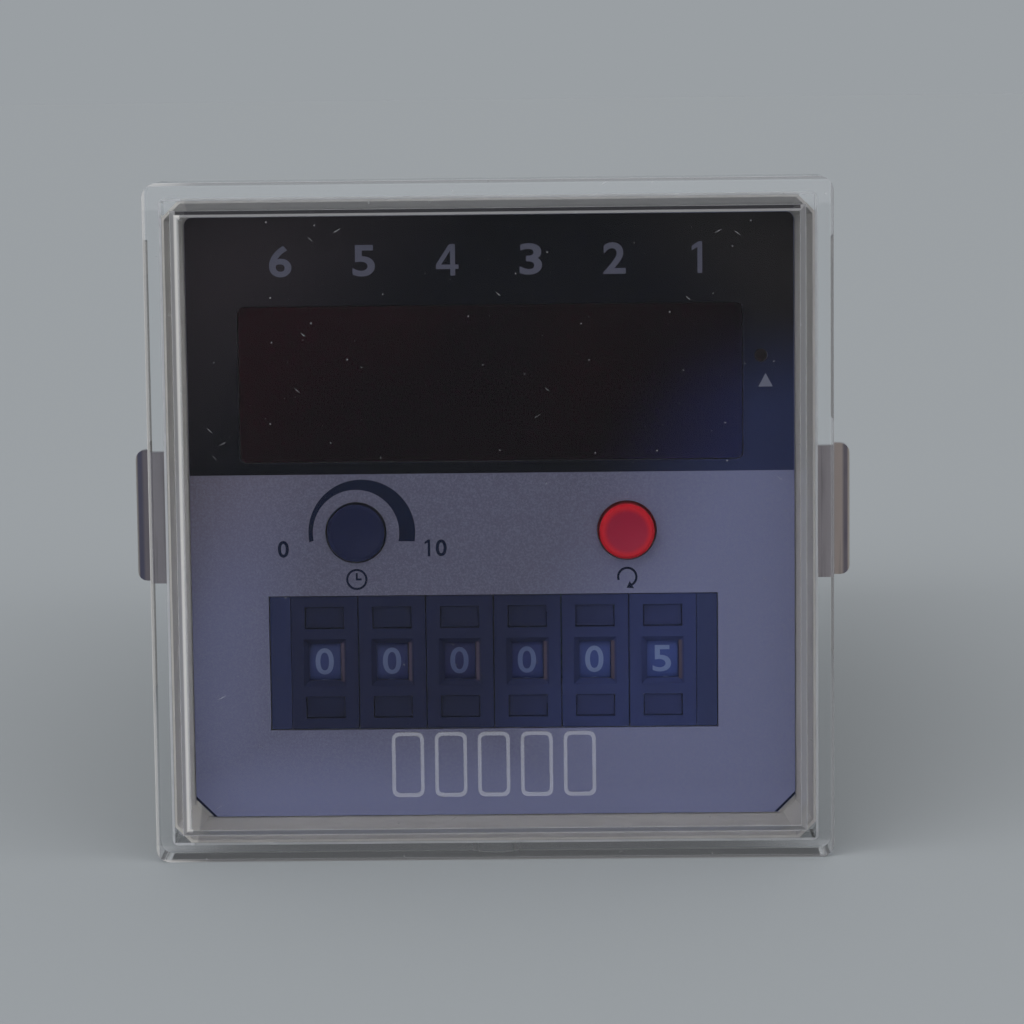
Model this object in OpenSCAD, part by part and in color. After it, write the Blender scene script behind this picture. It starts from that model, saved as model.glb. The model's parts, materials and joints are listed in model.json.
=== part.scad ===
// Six-digit preset counter for a square panel cut-out, with a clear pull-off front cover.
// X runs to the right, Y into the panel and Z up.
// The origin is the middle of the cut-out, on the front face of the panel.

/* [Bezel and panel] */
// Outside width and height of the bezel
bezel_w = 72; // [71:0.5:76]
// How far the bezel stands out in front of the panel
bezel_depth = 6.5; // [6.3:0.1:8]
// Legs of the bezel's cut corners
bezel_cut = 2; // [1:0.25:2.5]
// Width of the thin front lip
lip_w = 0.35; // [0.2:0.05:0.5]
// Width of the sloping border between the lip and the face, seen from the front
slope_w = 1.7; // [1.2:0.1:1.8]
// Depth of the face below the front lip
face_recess = 4.7; // [4.3:0.1:4.9]
// How far the front wall reaches behind the panel's face
wall_back = 0.6; // [0.4:0.1:1.2]
// Side of the square panel cut-out
cutout_w = 68; // [67.6:0.1:68.2]
// Gap between the case and the edge of the cut-out, on each side
case_gap = 0.6; // [0.5:0.05:0.8]
// Thickness of the panel at which the clamps are drawn
panel_t = 2.1; // [2.1:0.1:3]

/* [Face] */
// Thickness of the printed face sheet
sheet_t = 0.4; // [0.2:0.05:0.6]
// Legs of the sheet's cut lower corners
sheet_cut = 2; // [1.6:0.1:2.4]
// Radius of the sheet's upper corners
sheet_round = 0.9; // [0.5:0.1:1.5]
// Width of the display window
window_w = 56.4; // [56:0.2:57]
// Height of the display window
window_h = 17.6; // [17:0.2:18.4]
// Height of the display window's middle above the origin
window_z = 15.1; // [14.8:0.1:15.4]
// Radius of the hole that the knob turns in
knob_hole_r = 3.45; // [3.4:0.05:3.6]
// Radius of the hole that the reset button moves in
reset_hole_r = 3.36; // [3.25:0.02:3.5]
// Height of the knob and reset button above the origin
control_z = -1.6; // [-1.8:0.1:-1.4]
// Distance of the knob to the left of the middle
knob_x = 15.3; // [14.9:0.1:15.6]
// Distance of the reset button to the right of the middle
reset_x = 15.1; // [14.8:0.1:15.6]
// Distance of the indicator lamp to the right of the middle
lamp_x = 30.2; // [29.8:0.1:30.3]
// Height of the indicator lamp above the origin
lamp_z = 17.9; // [17:0.1:19]

/* [Clear cover] */
// How far the cover reaches past the bezel, on each side
cover_over = 1.9; // [1.7:0.1:3.5]
// Thickness of the cover's front
cover_front_t = 1.6; // [1.2:0.1:2.2]
// Radius of the cover's corners
cover_round = 1.5; // [1:0.1:2]
// How far the cover's rim stays in front of the panel
cover_rim_gap = 0.9; // [0.5:0.1:1.5]
// Sliding clearance between the bezel and the cover, on each side
cover_clear = 0.2; // [0.1:0.05:0.3]
// Width of the raised middle at its foot
plateau_w = 69.6; // [68:0.2:70.5]
// Height of the raised middle
plateau_h = 0.5; // [0.3:0.05:0.8]
// Width of the bevel round the raised middle
plateau_bevel = 0.55; // [0.3:0.05:0.8]
// Radius of the finger notch in the lower rim
notch_r = 3; // [2:0.1:3.4]
// Number of plain rib frames below the thumbwheels
rib_count = 5; // [3:1:6]
// Width over all the rib frames
ribs_w = 22.7; // [18:0.1:26]
// Height of a rib frame
rib_h = 7.3; // [5:0.1:8]
// Height of the middle of the rib frames above the origin
rib_z = -26.9; // [-28:0.1:-26]

/* [Digit switches] */
// Number of digit switches and display digits
digits = 6; // [4:2:6]
// Distance between neighbouring digit switches
pitch = 7.62; // [7.55:0.01:7.68]
// Height of the middle of the digit switches above the origin
switch_z = -16.4; // [-16.6:0.1:-16.3]
// Thickness of the plates at both ends of the row of digit switches
end_plate_t = 2.3; // [2:0.05:2.6]
// Height of the opening for the digit switches
opening_h = 15.3; // [15.1:0.1:15.5]
// Height of a switch body behind the front wall
body_h = 19; // [18.6:0.1:19.2]
// Depth of a switch body behind the front wall
body_depth = 19.4; // [18:0.1:20]
// Radius of a digit wheel
wheel_r = 5.8; // [5.6:0.05:5.9]
// Width of a digit wheel's rim
wheel_w = 3.6; // [3:0.1:3.8]
// Radius of the post that a digit wheel turns on
post_r = 1.5; // [1.2:0.05:1.8]
// Width of the window in front of a digit wheel
view_w = 3.6; // [3:0.1:3.8]
// Height of the window in front of a digit wheel
view_h = 4.2; // [3.8:0.1:4.4]
// Width of the bevel round that window
view_bevel = 0.6; // [0.4:0.05:0.7]
// Width of a step button
step_w = 4.2; // [3.8:0.1:4.4]
// Height of a step button
step_h = 2.3; // [2:0.05:2.4]
// Distance of a step button's middle from the wheel's middle
step_z = 5.1; // [5.05:0.05:5.15]
// Travel of a step button
step_travel = 1; // [0.6:0.1:1]

/* [Controls] */
// Radius of the knob
knob_r = 3.23; // [3:0.01:3.3]
// How far the knob stands out of the face
knob_proud = 0.6; // [0.3:0.1:1]
// Radius of the reset button
reset_r = 3.08; // [2.9:0.01:3.15]
// How far the reset button stands out of the face
reset_proud = 1.6; // [1.3:0.1:2]
// Travel of the reset button
reset_travel = 1; // [0.5:0.1:1.2]
// Radius of the knob's shaft and of the reset button's stem
stem_r = 1.5; // [1.2:0.05:1.7]

/* [Housing] */
// Thickness of the case's walls
case_wall = 1.6; // [1.4:0.1:1.7]
// Length of the case behind the panel
case_len = 80; // [76:1:95]
// Height of the case's rear part
rear_h = 54.8; // [53.8:0.2:56]
// Where the case's square front part ends
collar_len = 24; // [24:0.5:26]
// Length of the slope from the front part to the rear part
step_len = 5; // [3:0.5:6]
// Depth of the groove in the bezel that the case sits in
case_seat = 0.4; // [0.3:0.05:0.5]
// Height of the side channels for the clamps
channel_h = 10; // [9.6:0.2:10.4]
// Depth of the side channels
channel_depth = 6.8; // [6.6:0.1:7]
// Number of vent slots in a row
vent_count = 5; // [3:1:5]
// Width of a vent slot
vent_w = 1.6; // [1:0.1:2]

/* [Panel clamps] */
// Thickness of the clamp's sheet steel
clamp_t = 1.2; // [1:0.1:1.4]
// Distance between the outer edges of the two feet
clamp_span = 80.8; // [78:0.2:84]
// Height of a clamp's foot
foot_h = 14.9; // [12:0.1:16]
// Length of a clamp
clamp_len = 32; // [28:0.5:34]
// Radius of the jack screw's thread
screw_r = 1.5; // [1.3:0.05:1.6]
// Radius of the jack screw's head
screw_head_r = 2.7; // [2.5:0.05:2.8]
// Thickness of the web that holds the jack screw
web_t = 4; // [3:0.5:5]
// Travel of the clamps away from the panel
clamp_travel = 4; // [2:0.5:5]

/* [Terminals] */
// Number of terminals in a row
terminals = 5; // [3:1:5]
// Distance between neighbouring terminals
terminal_pitch = 9.6; // [9.2:0.1:9.8]
// Distance of a row of terminals from the middle
row_z = 18.9; // [18.6:0.1:19.2]
// Thickness of the walls between terminals
barrier_t = 1.4; // [1:0.1:1.6]
// Height of the walls between terminals above the terminal floor
barrier_h = 7.5; // [6.5:0.1:9]
// Radius of a terminal screw's head
terminal_head_r = 3; // [2.6:0.1:3.2]

/* [Circuit boards] */
// Thickness of the circuit boards
board_t = 1.6; // [1:0.1:1.8]
// Depth of a display digit
digit_depth = 5.5; // [5.2:0.1:6.5]
// Height of the main board above the origin
main_z = -23.2; // [-23.4:0.1:-22.8]
// Length of the main board
main_len = 42; // [40:1:42]
// Height of the transformer's core above the main board
core_h = 25; // [20:0.5:26]

/* [Hidden] */
$fn = 48;
// Small overlap that keeps a cut open at its ends
cut = 0.1;
// Running clearance of a pin in its hole, and fitting clearance of a fixed piece
run = 0.06;
fit = 0.1;

// Outside and inside width of the case
case_w = cutout_w - 2 * case_gap;
case_in_w = case_w - 2 * case_wall;

// Depths of the front: lip, face and wall
lip_y = -bezel_depth;
face_y = lip_y + face_recess;
wall_y = face_y + sheet_t;
pocket_w = bezel_w - 2 * (lip_w + slope_w);
sheet_w = pocket_w - fit;
lip_opening = bezel_w - 2 * lip_w;
// Cut corners stay at an even width round the lip
lip_cut = bezel_cut - lip_w * (2 - sqrt(2));
pocket_cut = sheet_cut - 0.6;

// Clear cover
cover_w = bezel_w + 2 * cover_over;
cover_in_w = bezel_w + 2 * cover_clear;
cover_inner_y = lip_y - fit;
cover_front_y = cover_inner_y - cover_front_t;
cover_rear_y = -cover_rim_gap;
plateau_y = cover_front_y - plateau_h;
rib_line = 0.4;
rib_rise = 0.2;
rib_gap = 1.2;
rib_w = (ribs_w - (rib_count - 1) * rib_gap) / rib_count;

// Digit switches: nose in the opening, body behind the wall
nose_y = face_y + 0.2;
nose_w = digits * pitch + 2 * end_plate_t;
opening_w = nose_w + 2 * fit;
nose_h = opening_h - 2 * fit;
body_y0 = wall_back + 0.05;
body_y1 = body_y0 + body_depth;
module_w = pitch - 0.12;
end_x = digits * pitch / 2;
wheel_y = nose_y + 0.9 + wheel_r;
wheel_left = -wheel_w / 2 - 0.1;
wheel_right = wheel_w / 2 - 0.1;
ratchet_r = wheel_r - 1.2;
ratchet_t = 0.7;
teeth = 10;
tooth_h = 0.8;
cavity_left = wheel_left - 0.3;
cavity_z = body_h / 2 - 1.1;
cavity_y1 = body_y1 - 1.4;
rod_r = 1;
rod_y = body_y1 - 3.2;
rod_z = body_h / 2 - 3.4;
step_clear = 0.1;
arm_z0 = wheel_r + 0.55;
arm_z1 = nose_h / 2 - 0.25;
shoulder_y = body_y0 + 1;
step_face_y = nose_y + 0.4;
code_t = 0.6;
code_x = module_w / 2 - code_t - 0.1;
code_y1 = body_y1 + 1.5;

// Display stack: filter, digits, board and its posts
filter_flange = 1.1;
filter_flange_y1 = wall_back + 1.2;
digit_y0 = filter_flange_y1 + 0.2;
board_y0 = digit_y0 + digit_depth;
board_y1 = board_y0 + board_t;
digit_pitch = (window_w - 0.6) / digits;
digit_h = window_h - 1.4;
board_top = window_z + window_h / 2 + 5.5;
board_bottom = control_z - 4.95;
board_w = case_in_w - 1.2;
channel_in = case_w / 2 - channel_depth - case_wall;
neck_w = 2 * (channel_in - 0.4);
board_neck_z = channel_h / 2 + case_wall + 0.6;
post_outer_r = 1.9;
post_hole_r = 0.8;
post_top = [board_w / 2 - 2.7, board_top - 2.2];
post_low = [neck_w / 2 - 2.3, control_z - 2.4];
posts = [for (s = [-1, 1], p = [post_top, post_low]) [s * p[0], p[1]]];

// Rear: case, terminal block and clamps
case_y1 = case_len;
case_round = 2;
groove_in_w = case_in_w - 2 * fit;
groove_out_w = case_w + 2 * fit;
channel_floor = case_w / 2 - channel_depth;
screw_x = case_w / 2 - 3.6;
foot_y = panel_t;
lug_y1 = foot_y + clamp_len;
collar_t = 1.3;
collar_y0 = lug_y1 + clamp_travel + 0.5;
web_y0 = collar_y0 + collar_t + fit;
web_y1 = web_y0 + web_t;
screw_tip_y = lug_y1 - 11;
screw_head_t = 2.4;
strip_h = channel_h - 0.4;
strip_x1 = case_w / 2 - 0.2;
strip_x0 = strip_x1 - clamp_t;
foot_in_x = case_w / 2 + 0.3;
plate_t = 3;
plate_y1 = case_y1 + plate_t;
floor_y = plate_y1 + 1;
barrier_y1 = floor_y + barrier_h;
bay_h = 15;
row_in = row_z - bay_h / 2;
row_w = terminals * terminal_pitch + barrier_t;
saddle_t = 0.8;
corner_x = case_w / 2 - 4.4;
corner_z = rear_h / 2 - 4.4;
corners = [for (s = [-1, 1], t = [-1, 1]) [s * corner_x, t * corner_z]];
rear_screw_r = 1.05;
rear_head_r = 2.3;
boss_r = 3.2;
boss_len = 14;
stud_r = 1.7;

// Main board and what stands on it
main_y0 = code_y1 + board_t;
main_y1 = main_y0 + main_len;
main_w = case_in_w - 8;
rail_depth = (case_in_w - main_w) / 2 + 1;
main_top = main_z + board_t;
core_x = -9;
core_w = 30;
core_l = 16;
core_y = main_y0 + 0.62 * main_len;
leg_w = 5.5;
mid_leg_w = 1.4 * leg_w;
coil_window_w = (core_w - 2 * leg_w - mid_leg_w) / 2;
coil_over = 4.5;
relay_x0 = 9;
relay_w = 16;
relay_l = 19;
relay_h = 15.5;
capacitor_x = 15;
capacitor_r = 5.5;
capacitor_h = 20;
chip_x0 = -22;
chip_w = 27;
chip_l = 9;
chip_h = 3.6;
edge_gap = 3;

// Corner points of a rectangle; each corner has its own radius and number of steps.
// One step is a straight cut.
function outline(w, h, r, n) = [
    for (q = [0:3], i = [0:n[q]])
        let (a = 90 * (q + i / n[q]), sx = q == 0 || q == 3 ? 1 : -1, sz = q < 2 ? 1 : -1)
        [sx * (w / 2 - r[q]) + r[q] * cos(a), sz * (h / 2 - r[q]) + r[q] * sin(a)]];
function even_outline(w, h, r, n) = outline(w, h, [r, r, r, r], [n, n, n, n]);

// Prism along Y from a drawing in X and Z
module prism(y0, y1) {
    translate([0, y1, 0]) rotate([90, 0, 0]) linear_extrude(y1 - y0) children();
}
module block(x0, x1, y0, y1, z0, z1) {
    translate([x0, y0, z0]) cube([x1 - x0, y1 - y0, z1 - z0]);
}
// Centred block along Y
module slab(w, h, y0, y1, z = 0, x = 0) {
    block(x - w / 2, x + w / 2, y0, y1, z - h / 2, z + h / 2);
}
module round_bar(r, y0, y1, x, z) {
    translate([x, y1, z]) rotate([90, 0, 0]) cylinder(h = y1 - y0, r = r);
}
// Round bar along X
module cross_bar(r, x0, x1, y, z) {
    translate([x0, y, z]) rotate([0, 90, 0]) cylinder(h = x1 - x0, r = r);
}
// Opening that narrows from one rectangle to a smaller one
module funnel(w0, h0, y0, w1, h1, y1, z = 0, x = 0) {
    hull() {
        slab(w0, h0, y0 - 0.01, y0, z, x);
        slab(w1, h1, y1, y1 + 0.01, z, x);
    }
}

// Clear moulded cap over the bezel
module front_cover() {
    color([0.82, 0.86, 0.9, 0.35]) {
        difference() {
            union() {
                prism(cover_front_y, cover_rear_y) polygon(even_outline(cover_w, cover_w, cover_round, 6));
                hull() {
                    slab(plateau_w, plateau_w, cover_front_y, cover_front_y + cut);
                    slab(plateau_w - 2 * plateau_bevel, plateau_w - 2 * plateau_bevel,
                         plateau_y, plateau_y + 0.01);
                }
            }
            prism(cover_inner_y, cover_rear_y + cut) polygon(even_outline(cover_in_w, cover_in_w, 0.6, 3));
            translate([0, cover_rear_y + notch_r / 2, -cover_w]) cylinder(h = cover_w, r = notch_r);
        }
        for (k = [0:rib_count - 1])
            rib_frame(-ribs_w / 2 + rib_w / 2 + k * (rib_w + rib_gap));
    }
}
// One plain rounded rib frame, raised on the cover's front
module rib_frame(x) {
    inner_w = rib_w - 2 * rib_line;
    translate([x, 0, rib_z]) difference() {
        prism(plateau_y - rib_rise, plateau_y + cut) polygon(even_outline(rib_w, rib_h, 0.8, 4));
        prism(plateau_y - 2 * rib_rise, plateau_y + 2 * cut)
            polygon(even_outline(inner_w, rib_h - 2 * rib_line, 0.5, 4));
    }
}

// Moulded frame with the front wall, the posts for the board and the snap arms
module front_bezel() {
    color([0.62, 0.61, 0.6]) difference() {
        union() {
            prism(lip_y, 0) polygon(even_outline(bezel_w, bezel_w, bezel_cut, 1));
            slab(groove_in_w, groove_in_w, -case_seat - cut, wall_back);
            for (p = posts) round_bar(post_outer_r, wall_back - cut, board_y0, p[0], p[1]);
            for (s = [-1, 1], x = [-tab_x, tab_x]) case_tab(x, s);
            for (s = [-1, 1]) side_arm(s);
        }
        hull() {
            prism(lip_y - 0.01, lip_y) polygon(even_outline(lip_opening, lip_opening, lip_cut, 1));
            prism(wall_y - 0.01, wall_y)
                polygon(outline(pocket_w, pocket_w,
                                [sheet_round, sheet_round, pocket_cut, pocket_cut], [3, 3, 1, 1]));
        }
        difference() {
            slab(groove_out_w, groove_out_w, -case_seat, wall_back + cut);
            slab(groove_in_w, groove_in_w, -2 * case_seat, wall_back + 2 * cut);
        }
        slab(opening_w, opening_h, wall_y - cut, wall_back + cut, switch_z);
        slab(window_w, window_h, wall_y - cut, wall_back + cut, window_z);
        round_bar(knob_hole_r, wall_y - cut, wall_back + cut, -knob_x, control_z);
        round_bar(reset_hole_r, wall_y - cut, wall_back + cut, reset_x, control_z);
        round_bar(lamp_hole_r, wall_y - cut, wall_back + cut, lamp_x, lamp_z);
        for (p = posts) round_bar(post_hole_r, wall_back + 1, board_y0 + cut, p[0], p[1]);
    }
}
lamp_hole_r = 0.75;
tab_x = 18;
tab_w = 9;
tab_len = 8;
tab_t = 1.3;
nub_w = 7;
nub_h = 1.1;
nub_y0 = 5;
nub_y1 = 7;
// Tab that snaps into a slot in the top (s = 1) or bottom (s = -1) of the case
module case_tab(x, s) {
    z1 = s * groove_in_w / 2;
    z0 = z1 - s * tab_t;
    block(x - tab_w / 2, x + tab_w / 2, wall_back - cut, tab_len, min(z0, z1), max(z0, z1));
    z2 = z1 + s * nub_h;
    block(x - nub_w / 2, x + nub_w / 2, nub_y0, nub_y1, min(z1, z2), max(z1, z2));
}
arm_x0 = nose_w / 2 + 0.15;
arm_t = 1.2;
arm_h = 6;
arm_nub = 1;
// Side arm whose hook holds the row of digit switches against the wall
module side_arm(s) {
    y1 = body_y1 + 1.5;
    x0 = arm_x0;
    z0 = switch_z - arm_h / 2;
    z1 = switch_z + arm_h / 2;
    scale_x(s) {
        block(x0, x0 + arm_t, wall_back - cut, y1, z0, z1);
        block(x0 - arm_nub, x0 + cut, body_y1 + 0.1, y1, z0, z1);
    }
}
// Draws its children on the right (s = 1) or mirrored to the left (s = -1)
module scale_x(s) {
    if (s > 0) children();
    else mirror([1, 0, 0]) children();
}

// Printed sheet in the bezel's pocket
module face_sheet() {
    color([0.33, 0.33, 0.4]) difference() {
        prism(face_y, wall_y)
            polygon(outline(sheet_w, sheet_w,
                            [sheet_round, sheet_round, sheet_cut, sheet_cut], [5, 5, 1, 1]));
        slab(opening_w, opening_h, face_y - cut, wall_y + cut, switch_z);
        prism(face_y - cut, wall_y + cut) translate([0, window_z])
            polygon(even_outline(window_w, window_h, 0.8, 4));
        round_bar(knob_hole_r, face_y - cut, wall_y + cut, -knob_x, control_z);
        round_bar(reset_hole_r, face_y - cut, wall_y + cut, reset_x, control_z);
        round_bar(lamp_hole_r, face_y - cut, wall_y + cut, lamp_x, lamp_z);
    }
}

// Dark red filter with a flange behind the wall
module display_filter() {
    w = window_w - 2 * fit;
    h = window_h - 2 * fit;
    color([0.16, 0.03, 0.04]) union() {
        prism(face_y + 0.05, wall_back + cut) translate([0, window_z]) polygon(even_outline(w, h, 0.75, 4));
        block(-w / 2 - filter_flange, w / 2 + filter_flange, wall_back + 0.02, filter_flange_y1,
              channel_h / 2 + case_wall + fit, window_z + h / 2 + filter_flange);
    }
}

// Display module number k, counted from the left, with two seven-segment digits
module display_module(k) {
    x = (2 * k - 1 - digits / 2) * digit_pitch;
    color([0.2, 0.2, 0.2]) translate([x, 0, window_z]) difference() {
        slab(2 * digit_pitch - 0.1, digit_h, digit_y0, board_y0);
        for (side = [-0.5, 0.5]) translate([side * digit_pitch, 0, 0]) digit_segments();
    }
}
segment_depth = 0.2;
// Seven segments and a point
module digit_segments() {
    bar_l = 4.4;
    bar_t = 1.1;
    step = bar_l + 0.3;
    for (z = [-1, 0, 1]) segment(0, z * step, bar_l, bar_t, 0);
    for (sx = [-1, 1], sz = [-0.5, 0.5]) segment(sx * step / 2, sz * step, bar_l, bar_t, 90);
    round_bar(0.6, digit_y0 - cut, digit_y0 + segment_depth, digit_pitch / 2 - 1, -bar_l - 0.6);
}
// Pointed segment, cut into a digit's front
module segment(x, z, l, t, turn) {
    e = t / 2;
    prism(digit_y0 - cut, digit_y0 + segment_depth) translate([x, z]) rotate(turn)
        polygon([[-l / 2, 0], [-l / 2 + e, e], [l / 2 - e, e],
                 [l / 2, 0], [l / 2 - e, -e], [-l / 2 + e, -e]]);
}

// Board behind the display, with a narrow foot between the side channels
module display_board() {
    color([0.1, 0.32, 0.2]) difference() {
        block(-board_w / 2, board_w / 2, board_y0, board_y1, board_bottom, board_top);
        for (s = [-1, 1]) scale_x(s)
            block(neck_w / 2, board_w, board_y0 - cut, board_y1 + cut, board_bottom - cut, board_neck_z);
        for (p = posts) round_bar(post_hole_r + 0.25, board_y0 - cut, board_y1 + cut, p[0], p[1]);
    }
}

module board_screws() {
    color([0.75, 0.75, 0.72]) for (p = posts) difference() {
        union() {
            round_bar(post_hole_r - run, board_y1 - 6, board_y1 + cut, p[0], p[1]);
            round_bar(post_outer_r, board_y1, board_y1 + 1.2, p[0], p[1]);
        }
        slab(2.6, 0.5, board_y1 + 0.7, board_y1 + 1.2 + cut, p[1], p[0]);
    }
}

module indicator_lamp() {
    color([0.55, 0.1, 0.1]) union() {
        round_bar(lamp_hole_r - run, face_y + 0.1, digit_y0 + cut, lamp_x, lamp_z);
        round_bar(1, digit_y0, board_y0, lamp_x, lamp_z);
    }
}

switch_side = 6;
switch_t = 3.8;
stem_reach = 2.4;
cap_back = wall_back - 0.2;
flange_t = 0.7;
// Hollow of radius r and depth d in a round front
module dish(r, d, front, x) {
    ball_r = (r * r + d * d) / (2 * d);
    translate([x, front + d - ball_r, control_z]) sphere(r = ball_r, $fn = 96);
}
// Round cap with a dished top and a stem that slides in the switch
module reset_button() {
    front = face_y - reset_proud;
    rim = 0.55;
    edge = 0.3;
    stem_y1 = board_y0 - switch_t + stem_reach;
    color([0.85, 0.16, 0.2]) difference() {
        union() {
            translate([reset_x, 0, control_z]) rotate([-90, 0, 0]) rotate_extrude()
                polygon([[0, front], [reset_r - edge, front], [reset_r, front + edge],
                         [reset_r, cap_back], [0, cap_back]]);
            round_bar(reset_hole_r + 0.6, wall_back + fit, wall_back + fit + flange_t, reset_x, control_z);
            round_bar(reset_r, cap_back - cut, wall_back + fit + cut, reset_x, control_z);
            round_bar(stem_r, cap_back - cut, stem_y1, reset_x, control_z);
        }
        dish(reset_r - rim, 0.35, front, reset_x);
    }
}

// Push switch on the display board, with the bore for the button's stem
module reset_switch() {
    y0 = board_y0 - switch_t;
    color([0.15, 0.15, 0.17]) difference() {
        slab(switch_side, switch_side, y0, board_y0, control_z, reset_x);
        round_bar(stem_r + run, y0 - cut, y0 + stem_reach + reset_travel + 0.2, reset_x, control_z);
    }
}

pot_side = 9.5;
pot_t = 4.4;
shaft_reach = 2.6;
// Round knob with a dished top and a shaft
module time_knob() {
    front = face_y - knob_proud;
    color([0.13, 0.14, 0.22]) difference() {
        union() {
            round_bar(knob_r, front, cap_back, -knob_x, control_z);
            round_bar(stem_r, cap_back - cut, board_y0 - pot_t + shaft_reach, -knob_x, control_z);
        }
        dish(knob_r - 0.4, 0.45, front, -knob_x);
    }
}

module potentiometer() {
    y0 = board_y0 - pot_t;
    color([0.1, 0.25, 0.5]) difference() {
        slab(pot_side, pot_side, y0, board_y0, control_z, -knob_x);
        round_bar(stem_r + run, y0 - cut, y0 + shaft_reach + 0.4, -knob_x, control_z);
    }
}

// Outline of a switch or end plate: nose and body, w wide and with its left side at x0
module switch_block(x0, w) {
    block(x0, x0 + w, nose_y, body_y0 + cut, switch_z - nose_h / 2, switch_z + nose_h / 2);
    block(x0, x0 + w, body_y0, body_y1, switch_z - body_h / 2, switch_z + body_h / 2);
}
function module_x(k) = (k - (digits + 1) / 2) * pitch;

// Body of digit switch number k, open to its right neighbour
module switch_body(k) {
    x = module_x(k);
    right = module_w / 2 + cut;
    color([0.13, 0.14, 0.24]) translate([x, 0, 0]) union() {
        difference() {
            switch_block(-module_w / 2, module_w);
            cross_bar(wheel_r + 0.25, cavity_left, right, wheel_y, switch_z);
            block(cavity_left, right, shoulder_y, cavity_y1, switch_z - cavity_z, switch_z + cavity_z);
            block(cavity_left, right, body_y0 + 0.1, shoulder_y + cut,
                  switch_z - arm_z1 - fit, switch_z + arm_z1 + fit);
            block(right - 1.4 - cut, right, cavity_y1 - cut, body_y1 + cut,
                  switch_z - cavity_z, switch_z + cavity_z);
            funnel(view_w + 2 * view_bevel, view_h + 2 * view_bevel, nose_y, view_w, view_h,
                   nose_y + 0.55, switch_z);
            slab(view_w, view_h, nose_y, wheel_y, switch_z);
            for (s = [-1, 1])
                slab(step_w + 2 * step_clear, step_h + 2 * step_clear, nose_y - cut, body_y0 + 1,
                     switch_z + s * step_z);
            for (s = [-1, 1]) cross_bar(rod_r + run, -module_w, module_w, rod_y, switch_z + s * rod_z);
        }
        cross_bar(post_r, cavity_left - cut, wheel_right + ratchet_t + 0.2, wheel_y, switch_z);
    }
}

// Wheel of digit switch number k, with a ten-tooth ratchet on its right side
module digit_wheel(k) {
    x = module_x(k);
    hub_r = post_r + 1.1;
    color([0.14, 0.17, 0.32]) translate([x, 0, 0]) difference() {
        union() {
            cross_bar(wheel_r, wheel_left, wheel_right, wheel_y, switch_z);
            translate([wheel_right - cut, wheel_y, switch_z]) rotate([90, 0, 90])
                linear_extrude(ratchet_t + cut) polygon(ratchet_points());
        }
        cross_bar(post_r + run, wheel_left - cut, wheel_right + ratchet_t + cut, wheel_y, switch_z);
        difference() {
            cross_bar(wheel_r - 1.1, wheel_left - cut, wheel_left + 1.4, wheel_y, switch_z);
            cross_bar(hub_r, wheel_left - 2 * cut, wheel_left + 1.5, wheel_y, switch_z);
        }
    }
}
function ratchet_points() = [
    for (i = [0:2 * teeth - 1])
        let (a = 180 * i / teeth, r = i % 2 == 0 ? ratchet_r : ratchet_r - tooth_h)
        [r * cos(a), r * sin(a)]];

// Step button above (s = 1) or below (s = -1) the wheel, with an arm that reaches past the wheel
module step_button(k, s) {
    x = module_x(k);
    z_in = step_z - step_h / 2;
    z_out = step_z + step_h / 2;
    knee_y0 = body_y0 + 0.25;
    knee_y1 = knee_y0 + 0.8;
    knee_z = z_out - 0.9;
    arm_x1 = step_w / 2 - 0.1;
    arm_y1 = wheel_y + 1 + step_travel;
    color([0.12, 0.13, 0.2]) translate([x, 0, switch_z]) scale_z(s) {
        block(-step_w / 2, step_w / 2, step_face_y, step_face_y + 0.7, z_in, z_out);
        block(-step_w / 2, step_w / 2, step_face_y, knee_y1, knee_z, z_out);
        block(-step_w / 2 + 0.5, arm_x1, knee_y0, knee_y1, knee_z, arm_z1);
        block(0, arm_x1, knee_y0, arm_y1, arm_z0, arm_z1);
    }
}
// Draws its children above (s = 1) or mirrored below (s = -1)
module scale_z(s) {
    if (s > 0) children();
    else mirror([0, 0, 1]) children();
}

module end_plate(s) {
    color([0.15, 0.17, 0.27]) scale_x(s) difference() {
        switch_block(end_x, end_plate_t);
        for (t = [-1, 1])
            cross_bar(rod_r + run, end_x - cut, end_x + end_plate_t + cut, rod_y, switch_z + t * rod_z);
    }
}

module tie_rods() {
    color([0.7, 0.7, 0.72]) for (t = [-1, 1])
        cross_bar(rod_r, -nose_w / 2 + 0.3, nose_w / 2 - 0.3, rod_y, switch_z + t * rod_z);
}

// One contact board beside each wheel
module code_boards() {
    color([0.12, 0.35, 0.22]) for (k = [1:digits]) translate([module_x(k), 0, 0]) difference() {
        block(code_x, code_x + code_t, shoulder_y, code_y1,
              switch_z - cavity_z + fit, switch_z + cavity_z - fit);
        for (t = [-1, 1]) cross_bar(rod_r + 0.3, 0, module_w, rod_y, switch_z + t * rod_z);
    }
}

switch_board_top = 6;
// Board across the back of the digit switches
module switch_board() {
    color([0.1, 0.32, 0.2])
        block(-neck_w / 2, neck_w / 2, code_y1, code_y1 + board_t, main_z - 1, switch_board_top);
}

// Pin strip between the display board and the switch board
module board_header() {
    pins = 8;
    pin_pitch = 2.54;
    pin_w = 0.64;
    header_z = 3.4;
    color([0.08, 0.08, 0.08]) union() {
        slab(pins * pin_pitch, pin_pitch, board_y1, code_y1, header_z);
        for (i = [0:pins - 1])
            slab(pin_w, pin_w, board_y1 + 1, code_y1 - 1, header_z - pin_pitch / 2,
                 (i - (pins - 1) / 2) * pin_pitch);
    }
}

// Board that carries the power supply and the output relay
module main_board() {
    color([0.1, 0.32, 0.2]) block(-main_w / 2, main_w / 2, main_y0, main_y1, main_z, main_top);
}

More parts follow.
